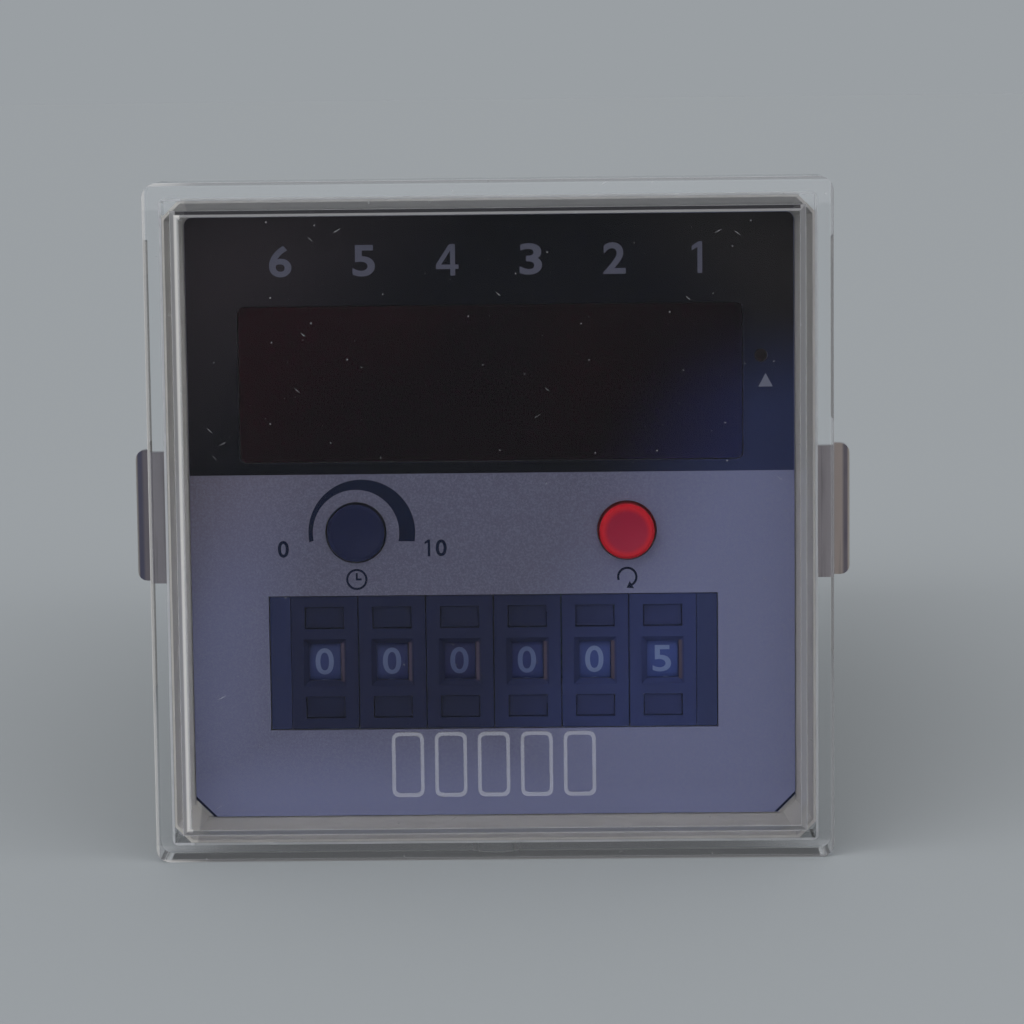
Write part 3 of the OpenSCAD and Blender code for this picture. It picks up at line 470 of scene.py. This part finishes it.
FINISHES = {
    "clear_plastic": clear_finish,
    "bezel_grey": bezel_finish,
    "face_print": face_finish,
    "red_filter": filter_finish,
    "board_green": board_finish,
    "display_black": lambda: moulded("display_black", srgb(30, 26, 28), 0.3, 0.004 * MM),
    "screw_steel": lambda: plated("screw_steel", srgb(170, 170, 166)),
    "lamp_red": lambda: moulded("lamp_red", srgb(30, 14, 20), 0.25, 0.002 * MM,
                                Specular_IOR_Level=0.2),
    "reset_red": reset_finish,
    "black_plastic": lambda: moulded("black_plastic", srgb(26, 26, 28), 0.45),
    "knob_blue": lambda: moulded("knob_blue", srgb(28, 34, 72), 0.42, 0.008 * MM,
                                 Specular_IOR_Level=0.1),
    "pot_blue": lambda: moulded("pot_blue", srgb(30, 70, 130), 0.4),
    "switch_blue": switch_finish,
    # the end plates' and the step's second colour is a painted bluish reflection towards the lower
    # right
    "end_plate_blue": lambda: moulded("end_plate_blue", srgb(39, 47, 88), 0.45, 0.008 * MM, 0.01,
                                      srgb(47, 57, 103), Specular_IOR_Level=0.12),
    # wheel colours: painted lighter ends, painted shade in the middle, painted bluish reflection at
    # the right
    "wheel_blue": lambda: wheel_finish("wheel_blue", srgb(47, 58, 108), srgb(23, 29, 80),
                                       srgb(58, 76, 144)),
    "step_black": lambda: moulded("step_black", srgb(25, 31, 66), 0.45, 0.008 * MM, 0.01,
                                  srgb(46, 55, 104), Specular_IOR_Level=0.1),
    "rod_steel": lambda: plated("rod_steel", srgb(176, 176, 174), 0.3, "x"),
    "core_steel": core_finish,
    "coil_tape": coil_finish,
    "relay_blue": lambda: moulded("relay_blue", srgb(28, 60, 128), 0.35),
    "capacitor_sleeve": lambda: moulded("capacitor_sleeve", srgb(28, 32, 70), 0.25, 0.003 * MM),
    "case_grey": lambda: moulded("case_grey", srgb(116, 115, 113), 0.55, 0.03 * MM),
    "terminal_black": lambda: moulded("terminal_black", srgb(32, 32, 34), 0.5, 0.02 * MM),
    "terminal_brass": lambda: plated("terminal_brass", srgb(196, 188, 158), 0.3),
    "terminal_steel": lambda: plated("terminal_steel", srgb(190, 184, 162), 0.32),
    "clamp_steel": clamp_finish,
    "jack_steel": lambda: plated("jack_steel", srgb(188, 180, 150), 0.32),
}
FINISH_OF = {slot: make() for slot, make in FINISHES.items()}
for node_name, cad_node in NODES.items():
    cad_node.data.materials.clear()
    cad_node.data.materials.append(FINISH_OF[SLOT_OF[node_name]])


def ink(name, color):
    """Matt print in one colour."""
    return moulded(name, color, 0.5, 0.002 * MM, 0.03, Specular_IOR_Level=0.08)


def band_finish():
    """Black print: a painted bluish reflection towards its lower right, greyer at its upper
    corners.
    """
    f = Finish("black_ink", Specular_IOR_Level=0.07)
    x, _, z = f.axes()
    ground = f.blend((z - x).ramp(30 * MM, 62 * MM), srgb(3, 3, 18), srgb(50, 43, 49))
    ground = f.blend((x + z).ramp(42 * MM, 62 * MM), ground, srgb(38, 34, 36))
    # painted bluish reflection towards the lower right
    f.set(Base_Color=f.blend(f.low_cast(), ground, srgb(43, 51, 91)),
          Roughness=0.4 + f.noise(300.0) * 0.08)
    return f.material


DARK_INK = ink("dark_ink", srgb(10, 21, 52))
BLACK_INK = band_finish()
GREY_INK = ink("grey_ink", srgb(100, 100, 118))
# figure ink: painted lighter ends, painted shade in the middle, painted bluish reflection at the
# right
WHEEL_INK = wheel_finish("wheel_ink", srgb(104, 116, 153), srgb(80, 91, 132),
                         srgb(118, 136, 185))
WHITE_INK = ink("white_ink", srgb(128, 130, 150))


# ---- meshes

def add_piece(name, mesh, body, finish):
    """Makes a piece of a mesh, with its finish, that rides on a body."""
    mesh.name = name
    mesh.materials.clear()
    mesh.materials.append(finish)
    piece = bpy.data.objects.new(name, mesh)
    bpy.context.scene.collection.objects.link(piece)
    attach(piece, body)
    return piece


def mesh_of(curve):
    """Mesh of a curve, made and then removed."""
    holder = bpy.data.objects.new("holder", curve)
    bpy.context.scene.collection.objects.link(holder)
    bpy.context.view_layer.update()
    found = holder.evaluated_get(bpy.context.evaluated_depsgraph_get())
    mesh = bpy.data.meshes.new_from_object(found)
    bpy.data.objects.remove(holder)
    return mesh


def joined(meshes):
    """One mesh from several."""
    bm = bmesh.new()
    for mesh in meshes:
        bm.from_mesh(mesh)
        bpy.data.meshes.remove(mesh)
    made = bpy.data.meshes.new("joined")
    bm.to_mesh(made)
    bm.free()
    return made


def tidy(mesh, merge=0.0005 * MM):
    """Merges doubles and turns every face outwards."""
    bm = bmesh.new()
    bm.from_mesh(mesh)
    bmesh.ops.remove_doubles(bm, verts=bm.verts, dist=merge)
    bmesh.ops.recalc_face_normals(bm, faces=bm.faces)
    bm.to_mesh(mesh)
    bm.free()
    return mesh


def flat_shape(loops, thickness):
    """Filled flat shape in X and Y: the first loop is its outline and the others are holes."""
    curve = bpy.data.curves.new("shape", "CURVE")
    curve.dimensions = "2D"
    curve.fill_mode = "BOTH"
    curve.extrude = thickness / 2
    for points in loops:
        spline = curve.splines.new("POLY")
        spline.points.add(len(points) - 1)
        spline.use_cyclic_u = True
        for target, (x, y) in zip(spline.points, points):
            target.co = (x, y, 0, 1)
    return tidy(mesh_of(curve))


def flat_text(body, height, thickness, width=None, bold=0.02):
    """Figures of a real height, and width if given, centred in X and Y; bold thickens them."""
    curve = bpy.data.curves.new("figures", "FONT")
    curve.body = body
    curve.extrude = thickness / 2
    curve.offset = bold
    curve.resolution_u = 6
    mesh = mesh_of(curve)
    xs = [v.co.x for v in mesh.vertices]
    ys = [v.co.y for v in mesh.vertices]
    scale_y = height / (max(ys) - min(ys))
    scale_x = width / (max(xs) - min(xs)) if width else scale_y
    for v in mesh.vertices:
        v.co.x = (v.co.x - (max(xs) + min(xs)) / 2) * scale_x
        v.co.y = (v.co.y - (max(ys) + min(ys)) / 2) * scale_y
    return tidy(mesh)


def figure_one(height, thickness):
    """A one with a flag, so that it isn't taken for a bar."""
    outline = [(0.13, -0.5), (0.13, 0.5), (0.01, 0.5), (-0.2, 0.36), (-0.2, 0.22), (-0.02, 0.32),
               (-0.02, -0.5)]
    return flat_shape([[(x * height, y * height) for x, y in outline]], thickness)


def figure_four(height, thickness, width=None):
    """A four with an open eye, which the font's own outline loses when it is made bold."""
    wide, high = (width / 0.74 if width else height), height
    outline = [(0.26, -0.5), (0.26, -0.29), (0.37, -0.29), (0.37, -0.15), (0.26, -0.15),
               (0.26, 0.5), (0.07, 0.5), (-0.37, -0.14), (-0.37, -0.29), (0.1, -0.29), (0.1, -0.5)]
    eye = [(0.1, -0.15), (-0.2, -0.15), (0.1, 0.29)]
    loops = [[(x * wide, y * high) for x, y in loop] for loop in (outline, eye)]
    return flat_shape(loops, thickness)


def figures(text, height, thickness, width=None, bold=0.02):
    """Plain figures in a row, centred on their own middle, in X and Y. A 9 is a 6 turned round."""
    step = height * 0.78
    made = []
    for place, figure in enumerate(text):
        if figure == "1":
            mesh = figure_one(height, thickness)
        elif figure == "4":
            mesh = figure_four(height, thickness, width)
        else:
            mesh = flat_text("6" if figure == "9" else figure, height, thickness, width, bold)
        if figure == "9":
            mesh.transform(Matrix.Rotation(math.pi, 4, "Z"))
        mesh.transform(Matrix.Translation(((place - (len(text) - 1) / 2) * step, 0, 0)))
        made.append(mesh)
    return tidy(joined(made))


def stand_up(mesh, x, y, z, backwards=False):
    """Turns a flat mesh so that it faces the front (or the back) and moves it to its place."""
    turn = Matrix.Rotation(math.pi / 2, 4, "X")
    if backwards:
        turn = Matrix.Rotation(math.pi, 4, "Z") @ turn
    mesh.transform(Matrix.Translation((x, y, z)) @ turn)
    return mesh


def arc(radius, start, end, steps, x=0.0, y=0.0):
    """Points on an arc, with its angles in degrees."""
    return [(x + radius * math.cos(math.radians(start + (end - start) * k / steps)),
             y + radius * math.sin(math.radians(start + (end - start) * k / steps)))
            for k in range(steps + 1)]


def rounded(width, height, radii, steps=6, x=0.0, y=0.0):
    """Outline of a rectangle with its four corner radii, from the upper right one on."""
    points = []
    for k, r in enumerate(radii):
        across, up = (1 if k in (0, 3) else -1), (1 if k < 2 else -1)
        points += arc(r, 90 * k, 90 * k + 90, steps,
                      x + across * (width / 2 - r), y + up * (height / 2 - r))
    return points


# ---- prints on the face

def front_middle(node):
    """X and Z of a piece's middle."""
    low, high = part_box(node)
    return (low.x + high.x) / 2, (low.z + high.z) / 2


INK = 0.02 * MM                 # thickness of a print
sheet_low, sheet_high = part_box("face_sheet")
FACE_Y = sheet_low.y
KNOB, RESET, LAMP = (front_middle(node) for node in ("time_knob", "reset_button", "indicator_lamp"))
WINDOW_Z = 15.1 * MM            # middle of the display window
BAND_Z = 5.0 * MM               # lower edge of the black upper half
SIGN_Z = -6.9 * MM              # middle of the signs under the knob and the reset button


def on_face(name, shapes, finish, layer=1):
    """Prints flat shapes, each with its place on the face; a higher layer lies on a lower one."""
    y = FACE_Y - INK * (layer - 0.5)
    placed = [stand_up(mesh, x, y, z) for mesh, x, z in shapes]
    add_piece(name, joined(placed), "housing", finish)


def dark_band():
    """Black upper half of the face, with the display window and the lamp's hole left open."""
    edge, corner = 0.05 * MM, 0.85 * MM
    half, top = sheet_high.x - edge, sheet_high.z - edge
    outline = rounded(2 * half, top - BAND_Z, (corner, corner, 0, 0), y=(top + BAND_Z) / 2)
    window = rounded(56.4 * MM, 17.6 * MM, (0.8 * MM,) * 4, y=WINDOW_Z)
    lamp = arc(0.75 * MM, 0, 345, 23, *LAMP)
    on_face("band_print", [(flat_shape([outline, window, lamp], INK), 0, 0)], BLACK_INK)


def dial_scale():
    """Crescent round the knob: its outer arc is offset to the right, so it thickens there."""
    inner, outer, offset = 4.85 * MM, 6.0 * MM, 0.65 * MM
    shape = arc(outer, -10, 190, 48, offset) + arc(inner, 190, -12, 48)
    on_face("dial_scale", [(flat_shape([shape], INK), *KNOB)], DARK_INK)


def dial_figures():
    """0 and 10 at the two ends of the dial."""
    height, reach, level = 1.9 * MM, 8.2 * MM, -3.4 * MM
    shapes = [(figures("0", height, INK), KNOB[0] - reach, level),
              (figures("10", height, INK), KNOB[0] + reach + 0.6 * MM, level)]
    on_face("dial_figures", shapes, DARK_INK)


def clock_sign(radius):
    """Ring with two hands."""
    ring = flat_shape([arc(radius, 0, 350, 35), arc(radius * 0.8, 0, 350, 35)], INK)
    hand, short, long = radius * 0.09, radius * 0.45, radius * 0.6
    hands = flat_shape([[(-hand, -hand), (short, -hand), (short, hand), (hand, hand),
                         (hand, long), (-hand, long)]], INK)
    return joined([ring, hands])


def return_sign(radius):
    """Open ring with an arrowhead."""
    thick = radius * 0.22
    ring = flat_shape([arc(radius, -60, 200, 36) + arc(radius - thick, 200, -60, 36)], INK)
    tip = Vector((math.cos(math.radians(-60)), math.sin(math.radians(-60)))) * (radius - thick / 2)
    side = tip.normalized() * radius * 0.42
    ahead = Vector((tip.y, -tip.x)).normalized() * radius * 0.6
    head = flat_shape([[tuple(tip + side), tuple(tip + ahead), tuple(tip - side)]], INK)
    return joined([ring, head])


def up_sign():
    """Triangle under the lamp."""
    half, foot = 0.8 * MM, -0.7 * MM
    triangle = flat_shape([[(-half, foot), (half, foot), (0, half)]], INK)
    on_face("up_sign", [(triangle, 30.7 * MM, WINDOW_Z)], WHITE_INK, 2)


def place_figures():
    """Figures from 6 down to 1 above the digits of the display."""
    height, width, pitch, level = 3.5 * MM, 2.5 * MM, 9.3 * MM, 28.9 * MM
    shapes = [(figures(str(DIGITS - k), height, INK, width), (k - (DIGITS - 1) / 2) * pitch, level)
              for k in range(DIGITS)]
    on_face("place_figures", shapes, GREY_INK, 2)


def corner_lines():
    """Painted shadow along the gap at the sheet's cut lower corners, printed in dark ink."""
    # painted shadow: dark strips where the gap at the cut corners lies in shade
    half, cut, wide = sheet_high.x - 0.02 * MM, 2.0 * MM, 0.35 * MM
    shapes = []
    for side in (-1, 1):
        points = [(side * half, cut - half), (side * half, cut - half + wide),
                  (side * (half - cut - wide), -half), (side * (half - cut), -half)]
        shapes.append((flat_shape([points], INK), 0, 0))
    on_face("corner_lines", shapes, DARK_INK)


dark_band()
# painted shadow along the cut corners' gap
corner_lines()
dial_scale()
dial_figures()
on_face("clock_sign", [(clock_sign(1.2 * MM), KNOB[0], SIGN_Z)], DARK_INK)
on_face("return_sign", [(return_sign(1.15 * MM), RESET[0], SIGN_Z)], DARK_INK)
up_sign()
place_figures()


# ---- digit wheels

def wheel_figures(k):
    """Ten figures round a wheel; the one that shows in the window faces the front.

    Each figure is cut into slices that bend round the wheel. It stands proud of the wheel and is
    also sunk into it.
    """
    low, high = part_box("digit_wheel_%d" % k)
    hub_y, hub_z = (low.y + high.y) / 2, (low.z + high.z) / 2
    radius = (high.z - low.z) / 2
    height, width, aside = 3.05 * MM, 2.08 * MM, 0.1 * MM
    proud, sunk, slices = 0.02 * MM, 0.05 * MM, 12
    shown = int(SHOWN_DIGITS[k - 1])
    turns = []
    for figure in range(10):
        mesh = figures(str(figure), height, 1.0, width, 0.012)
        bm = bmesh.new()
        bm.from_mesh(mesh)
        bpy.data.meshes.remove(mesh)
        for cut in range(1, slices):
            level = height * (cut / slices - 0.5)
            bmesh.ops.bisect_plane(bm, geom=bm.verts[:] + bm.edges[:] + bm.faces[:],
                                   plane_co=(0, level, 0), plane_no=(0, 1, 0))
        for v in bm.verts:
            angle = v.co.y / radius + math.radians(36) * (figure - shown)
            r = radius + proud if v.co.z > 0 else radius - sunk
            v.co = (v.co.x - aside, hub_y - r * math.cos(angle), hub_z + r * math.sin(angle))
        turned = bpy.data.meshes.new("turned")
        bm.to_mesh(turned)
        bm.free()
        turns.append(turned)
    mesh = joined(turns)
    mesh.transform(Matrix.Translation(((k - (DIGITS + 1) / 2) * PITCH, 0, 0)))
    add_piece("wheel_figures_%d" % k, tidy(mesh), "wheel_%d" % k, WHEEL_INK)


for wheel in range(1, DIGITS + 1):
    wheel_figures(wheel)


# ---- terminal numbers

def terminal_numbers():
    """Plain numbers between the two rows of terminals."""
    _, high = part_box("terminal_block")
    height, pitch, level = 2.2 * MM, 9.6 * MM, 9.7 * MM
    back = high.y - 1 * MM + INK / 2
    made = []
    for k in range(10):
        x, z = (2 - k % 5) * pitch, level if k < 5 else -level
        made.append(stand_up(figures(str(k + 1), height, INK), x, back, z, True))
    add_piece("terminal_numbers", joined(made), "housing", WHITE_INK)


terminal_numbers()


# ---- repeats made with Geometry Nodes

class Repeat:
    """A Geometry Nodes tree with named inputs for its sizes, turned into a plain mesh."""

    def __init__(self, name, **sizes):
        self.sizes = sizes
        self.tree = bpy.data.node_groups.new(name, "GeometryNodeTree")
        for key, value in sizes.items():
            kind = "NodeSocketInt" if isinstance(value, int) else "NodeSocketFloat"
            self.tree.interface.new_socket(key, in_out="INPUT", socket_type=kind)
        self.tree.interface.new_socket("Geometry", in_out="OUTPUT",
                                       socket_type="NodeSocketGeometry")
        self.given = self.tree.nodes.new("NodeGroupInput")

    def size(self, key):
        """The tree's input of that name."""
        return self.given.outputs[key]

    def node(self, kind, settings=None, **sockets):
        """Adds one node: its settings first, then its sockets by name."""
        made = self.tree.nodes.new(kind)
        for key, value in (settings or {}).items():
            setattr(made, key, value)
        for key, value in sockets.items():
            socket = made.inputs[key.replace("_", " ")]
            if isinstance(value, bpy.types.NodeSocket):
                self.tree.links.new(value, socket)
            else:
                socket.default_value = value
        return made.outputs[0]

    def mesh(self, geometry, finish):
        """The tree's result with its finish, as a mesh of its own."""
        real = self.node("GeometryNodeRealizeInstances", Geometry=geometry)
        dressed = self.node("GeometryNodeSetMaterial", Geometry=real, Material=finish)
        out = self.tree.nodes.new("NodeGroupOutput")
        self.tree.links.new(dressed, out.inputs[0])
        holder = bpy.data.objects.new("holder", bpy.data.meshes.new("empty"))
        bpy.context.scene.collection.objects.link(holder)
        modifier = holder.modifiers.new("repeat", "NODES")
        modifier.node_group = self.tree
        for item in self.tree.interface.items_tree:
            if item.in_out == "INPUT":
                modifier[item.identifier] = self.sizes[item.name]
        bpy.context.view_layer.update()
        found = holder.evaluated_get(bpy.context.evaluated_depsgraph_get())
        mesh = bpy.data.meshes.new_from_object(found)
        holder.modifiers.remove(modifier)
        bpy.data.objects.remove(holder)
        return mesh


def helix(radius, pitch, length, height, finish):
    """Ridge of a left-hand thread along Y, from the origin on."""
    r = Repeat("thread", Turns=length / pitch, Radius=radius, Length=length, Height=height)
    spiral = r.node("GeometryNodeCurveSpiral", Resolution=20, Rotations=r.size("Turns"),
                    Start_Radius=r.size("Radius"), End_Radius=r.size("Radius"),
                    Height=r.size("Length"), Reverse=True)
    upright = r.node("GeometryNodeSetCurveNormal", {"mode": "Z_UP"}, Curve=spiral)
    ridge = r.node("GeometryNodeCurvePrimitiveCircle", Resolution=4, Radius=r.size("Height"))
    thread = r.node("GeometryNodeCurveToMesh", Curve=upright, Profile_Curve=ridge, Fill_Caps=True)
    turned = r.node("GeometryNodeTransform", Geometry=thread, Rotation=(-math.pi / 2, 0, 0))
    return r.mesh(turned, finish)


def jack_screw(side, name):
    """Jack screw with a cut thread: the solid's own shaft is turned down to the thread's core."""
    finish = FINISH_OF["jack_steel"]
    node = side + "_jack_screw"
    low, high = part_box(node)
    x = (low.x + high.x) / 2
    outer, core, pitch, ridge_height = 1.5 * MM, 1.24 * MM, 0.5 * MM, 0.19 * MM
    thread_end, plain = low.y + 15.5 * MM, 0.3 * MM
    mesh = NODES[node].data.copy()
    for v in mesh.vertices:
        reach = math.hypot(v.co.x - x, v.co.z)
        if v.co.y < thread_end + plain and abs(reach - outer) < 0.06 * MM:
            v.co.x = x + (v.co.x - x) * core / reach
            v.co.z *= core / reach
    length = thread_end - low.y - 2 * plain
    ridge = helix(core + 0.05 * MM, pitch, length, ridge_height, finish)
    ridge.transform(Matrix.Translation((x, low.y + plain, 0)))
    screw = joined([tidy(mesh), tidy(ridge)])
    piece = add_piece(name, screw, side + "_screw", finish)
    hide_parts(node)


def solder_rows(name, across, columns, apart, x, y, z, turn):
    """Two rows of solder joints on a board; turn lays their grid on its face."""
    finish = FINISH_OF["screw_steel"]
    r = Repeat(name, Across=across, Columns=columns, Apart=apart, Rows=2, Foot=0.75 * MM)
    grid = r.node("GeometryNodeMeshGrid", Size_X=r.size("Across"), Size_Y=r.size("Apart"),
                  Vertices_X=r.size("Columns"), Vertices_Y=r.size("Rows"))
    joint = r.node("GeometryNodeMeshCone", {"fill_type": "NGON"}, Vertices=8,
                   Radius_Bottom=r.size("Foot"), Radius_Top=0.28 * MM, Depth=0.8 * MM)
    joints = r.node("GeometryNodeInstanceOnPoints", Points=grid, Instance=joint)
    mesh = r.mesh(joints, finish)
    mesh.transform(Matrix.Translation((x, y, z)) @ turn)
    add_piece(name, tidy(mesh), "housing", finish)


jack_screw("left", "left_screw_thread")
jack_screw("right", "right_screw_thread")
_, board_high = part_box("display_board")
TO_BACK = Matrix.Rotation(-math.pi / 2, 4, "X")
solder_rows("display_solder", 50 * MM, 24, 15.2 * MM, 0, board_high.y, WINDOW_Z, TO_BACK)
main_low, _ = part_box("main_board")
chip_low, chip_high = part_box("processor_chip")
TO_BELOW = Matrix.Rotation(math.pi, 4, "X")
solder_rows("main_solder", chip_high.x - chip_low.x - 2 * MM, 11, 7.6 * MM,
            (chip_low.x + chip_high.x) / 2, (chip_low.y + chip_high.y) / 2, main_low.z, TO_BELOW)


# ---- stage, light and camera

FLOOR_COLOR = srgb(154, 159, 163)


def background(tree, lit, place):
    """Mixes the lit shader with the plain background as the camera, metal and glass see it.

    A ray that has already left a matt surface sees the light, so that it also gets in
    through the clear cover.
    """
    nodes, links = tree.nodes, tree.links
    path = nodes.new("ShaderNodeLightPath")

    def step(operation, *inputs):
        node = nodes.new("ShaderNodeMath")
        node.operation = operation
        for value, socket in zip(inputs, node.inputs):
            if isinstance(value, float):
                socket.default_value = value
            else:
                links.new(value, socket)
        return node.outputs[0]

    seen = step("MAXIMUM", path.outputs["Is Camera Ray"], path.outputs["Is Glossy Ray"])
    seen = step("MAXIMUM", seen, path.outputs["Is Transmission Ray"])
    seen = step("MULTIPLY", seen, step("LESS_THAN", path.outputs["Diffuse Depth"], 0.5))
    mix = nodes.new("ShaderNodeMixShader")
    plain = nodes.new("ShaderNodeBackground")
    plain.inputs["Color"].default_value = FLOOR_COLOR
    links.new(seen, mix.inputs[0])
    links.new(lit, mix.inputs[1])
    links.new(plain.outputs[0], mix.inputs[2])
    links.new(mix.outputs[0], place)


def world_light():
    """Even light from all round."""
    world = bpy.data.worlds.new("studio")
    bpy.context.scene.world = world
    world.use_nodes = True
    tree = world.node_tree
    tree.nodes.clear()
    out = tree.nodes.new("ShaderNodeOutputWorld")
    light = tree.nodes.new("ShaderNodeBackground")
    light.inputs["Color"].default_value = WHITE
    light.inputs["Strength"].default_value = 0.75
    background(tree, light.outputs[0], out.inputs["Surface"])


def soft_sun(name, direction, strength, spread):
    """Sun that shines from a direction, with its spread in degrees."""
    lamp = bpy.data.lights.new(name, "SUN")
    lamp.energy = strength
    lamp.angle = math.radians(spread)
    holder = bpy.data.objects.new(name, lamp)
    bpy.context.scene.collection.objects.link(holder)
    holder.rotation_euler = Vector(direction).to_track_quat("Z", "Y").to_euler()


def floor():
    """Pale floor, flat in front and behind, that rises from the cover's foot to the terminals."""
    _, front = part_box("front_cover")
    _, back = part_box("terminal_block")
    size, near, far, rest_z = 6.0, -0.2, 0.35, -26.4 * MM
    profile = [(-size, -front.z), (near, -front.z), (front.y, -front.z), (back.y, rest_z),
               (far, rest_z), (size, rest_z)]
    corners = [(x, y, z) for y, z in profile for x in (-size, size)]
    strips = [(2 * k, 2 * k + 1, 2 * k + 3, 2 * k + 2) for k in range(len(profile) - 1)]
    mesh = bpy.data.meshes.new("floor")
    mesh.from_pydata(corners, [], strips)
    mesh.shade_smooth()
    finish = bpy.data.materials.new("floor")
    finish.use_nodes = True
    shader = finish.node_tree.nodes["Principled BSDF"]
    shader.inputs["Base Color"].default_value = shade(FLOOR_COLOR, 1.05)
    shader.inputs["Roughness"].default_value = 0.9
    shader.inputs["Specular IOR Level"].default_value = 0.1
    mesh.materials.append(finish)
    plane = bpy.data.objects.new("floor", mesh)
    bpy.context.scene.collection.objects.link(plane)


def camera():
    """The photograph's angle: slightly above and to the right, with a small roll."""
    azimuth, elevation, distance = math.radians(0.8), math.radians(7.0), 0.42
    aim = Vector((2.23 * MM, FACE_Y, 0.48 * MM))
    flat = math.cos(elevation)
    back = Vector((math.sin(azimuth) * flat, -math.cos(azimuth) * flat, math.sin(elevation)))
    lens = bpy.data.cameras.new("camera")
    lens.sensor_width = 36.0
    lens.lens = 131.45
    lens.clip_start = 0.01
    holder = bpy.data.objects.new("camera", lens)
    bpy.context.scene.collection.objects.link(holder)
    roll = Matrix.Rotation(math.radians(-0.67), 4, "Z")
    turn = back.to_track_quat("Z", "Y").to_matrix().to_4x4()
    holder.matrix_world = Matrix.Translation(aim + back * distance) @ turn @ roll
    bpy.context.scene.camera = holder


world_light()
soft_sun("key", (-0.6, -0.75, 0.45), 1.12, 60)
soft_sun("fill", (0.7, -0.6, 0.35), 0.5, 60)
floor()
camera()
bpy.context.scene.view_settings.view_transform = "Standard"
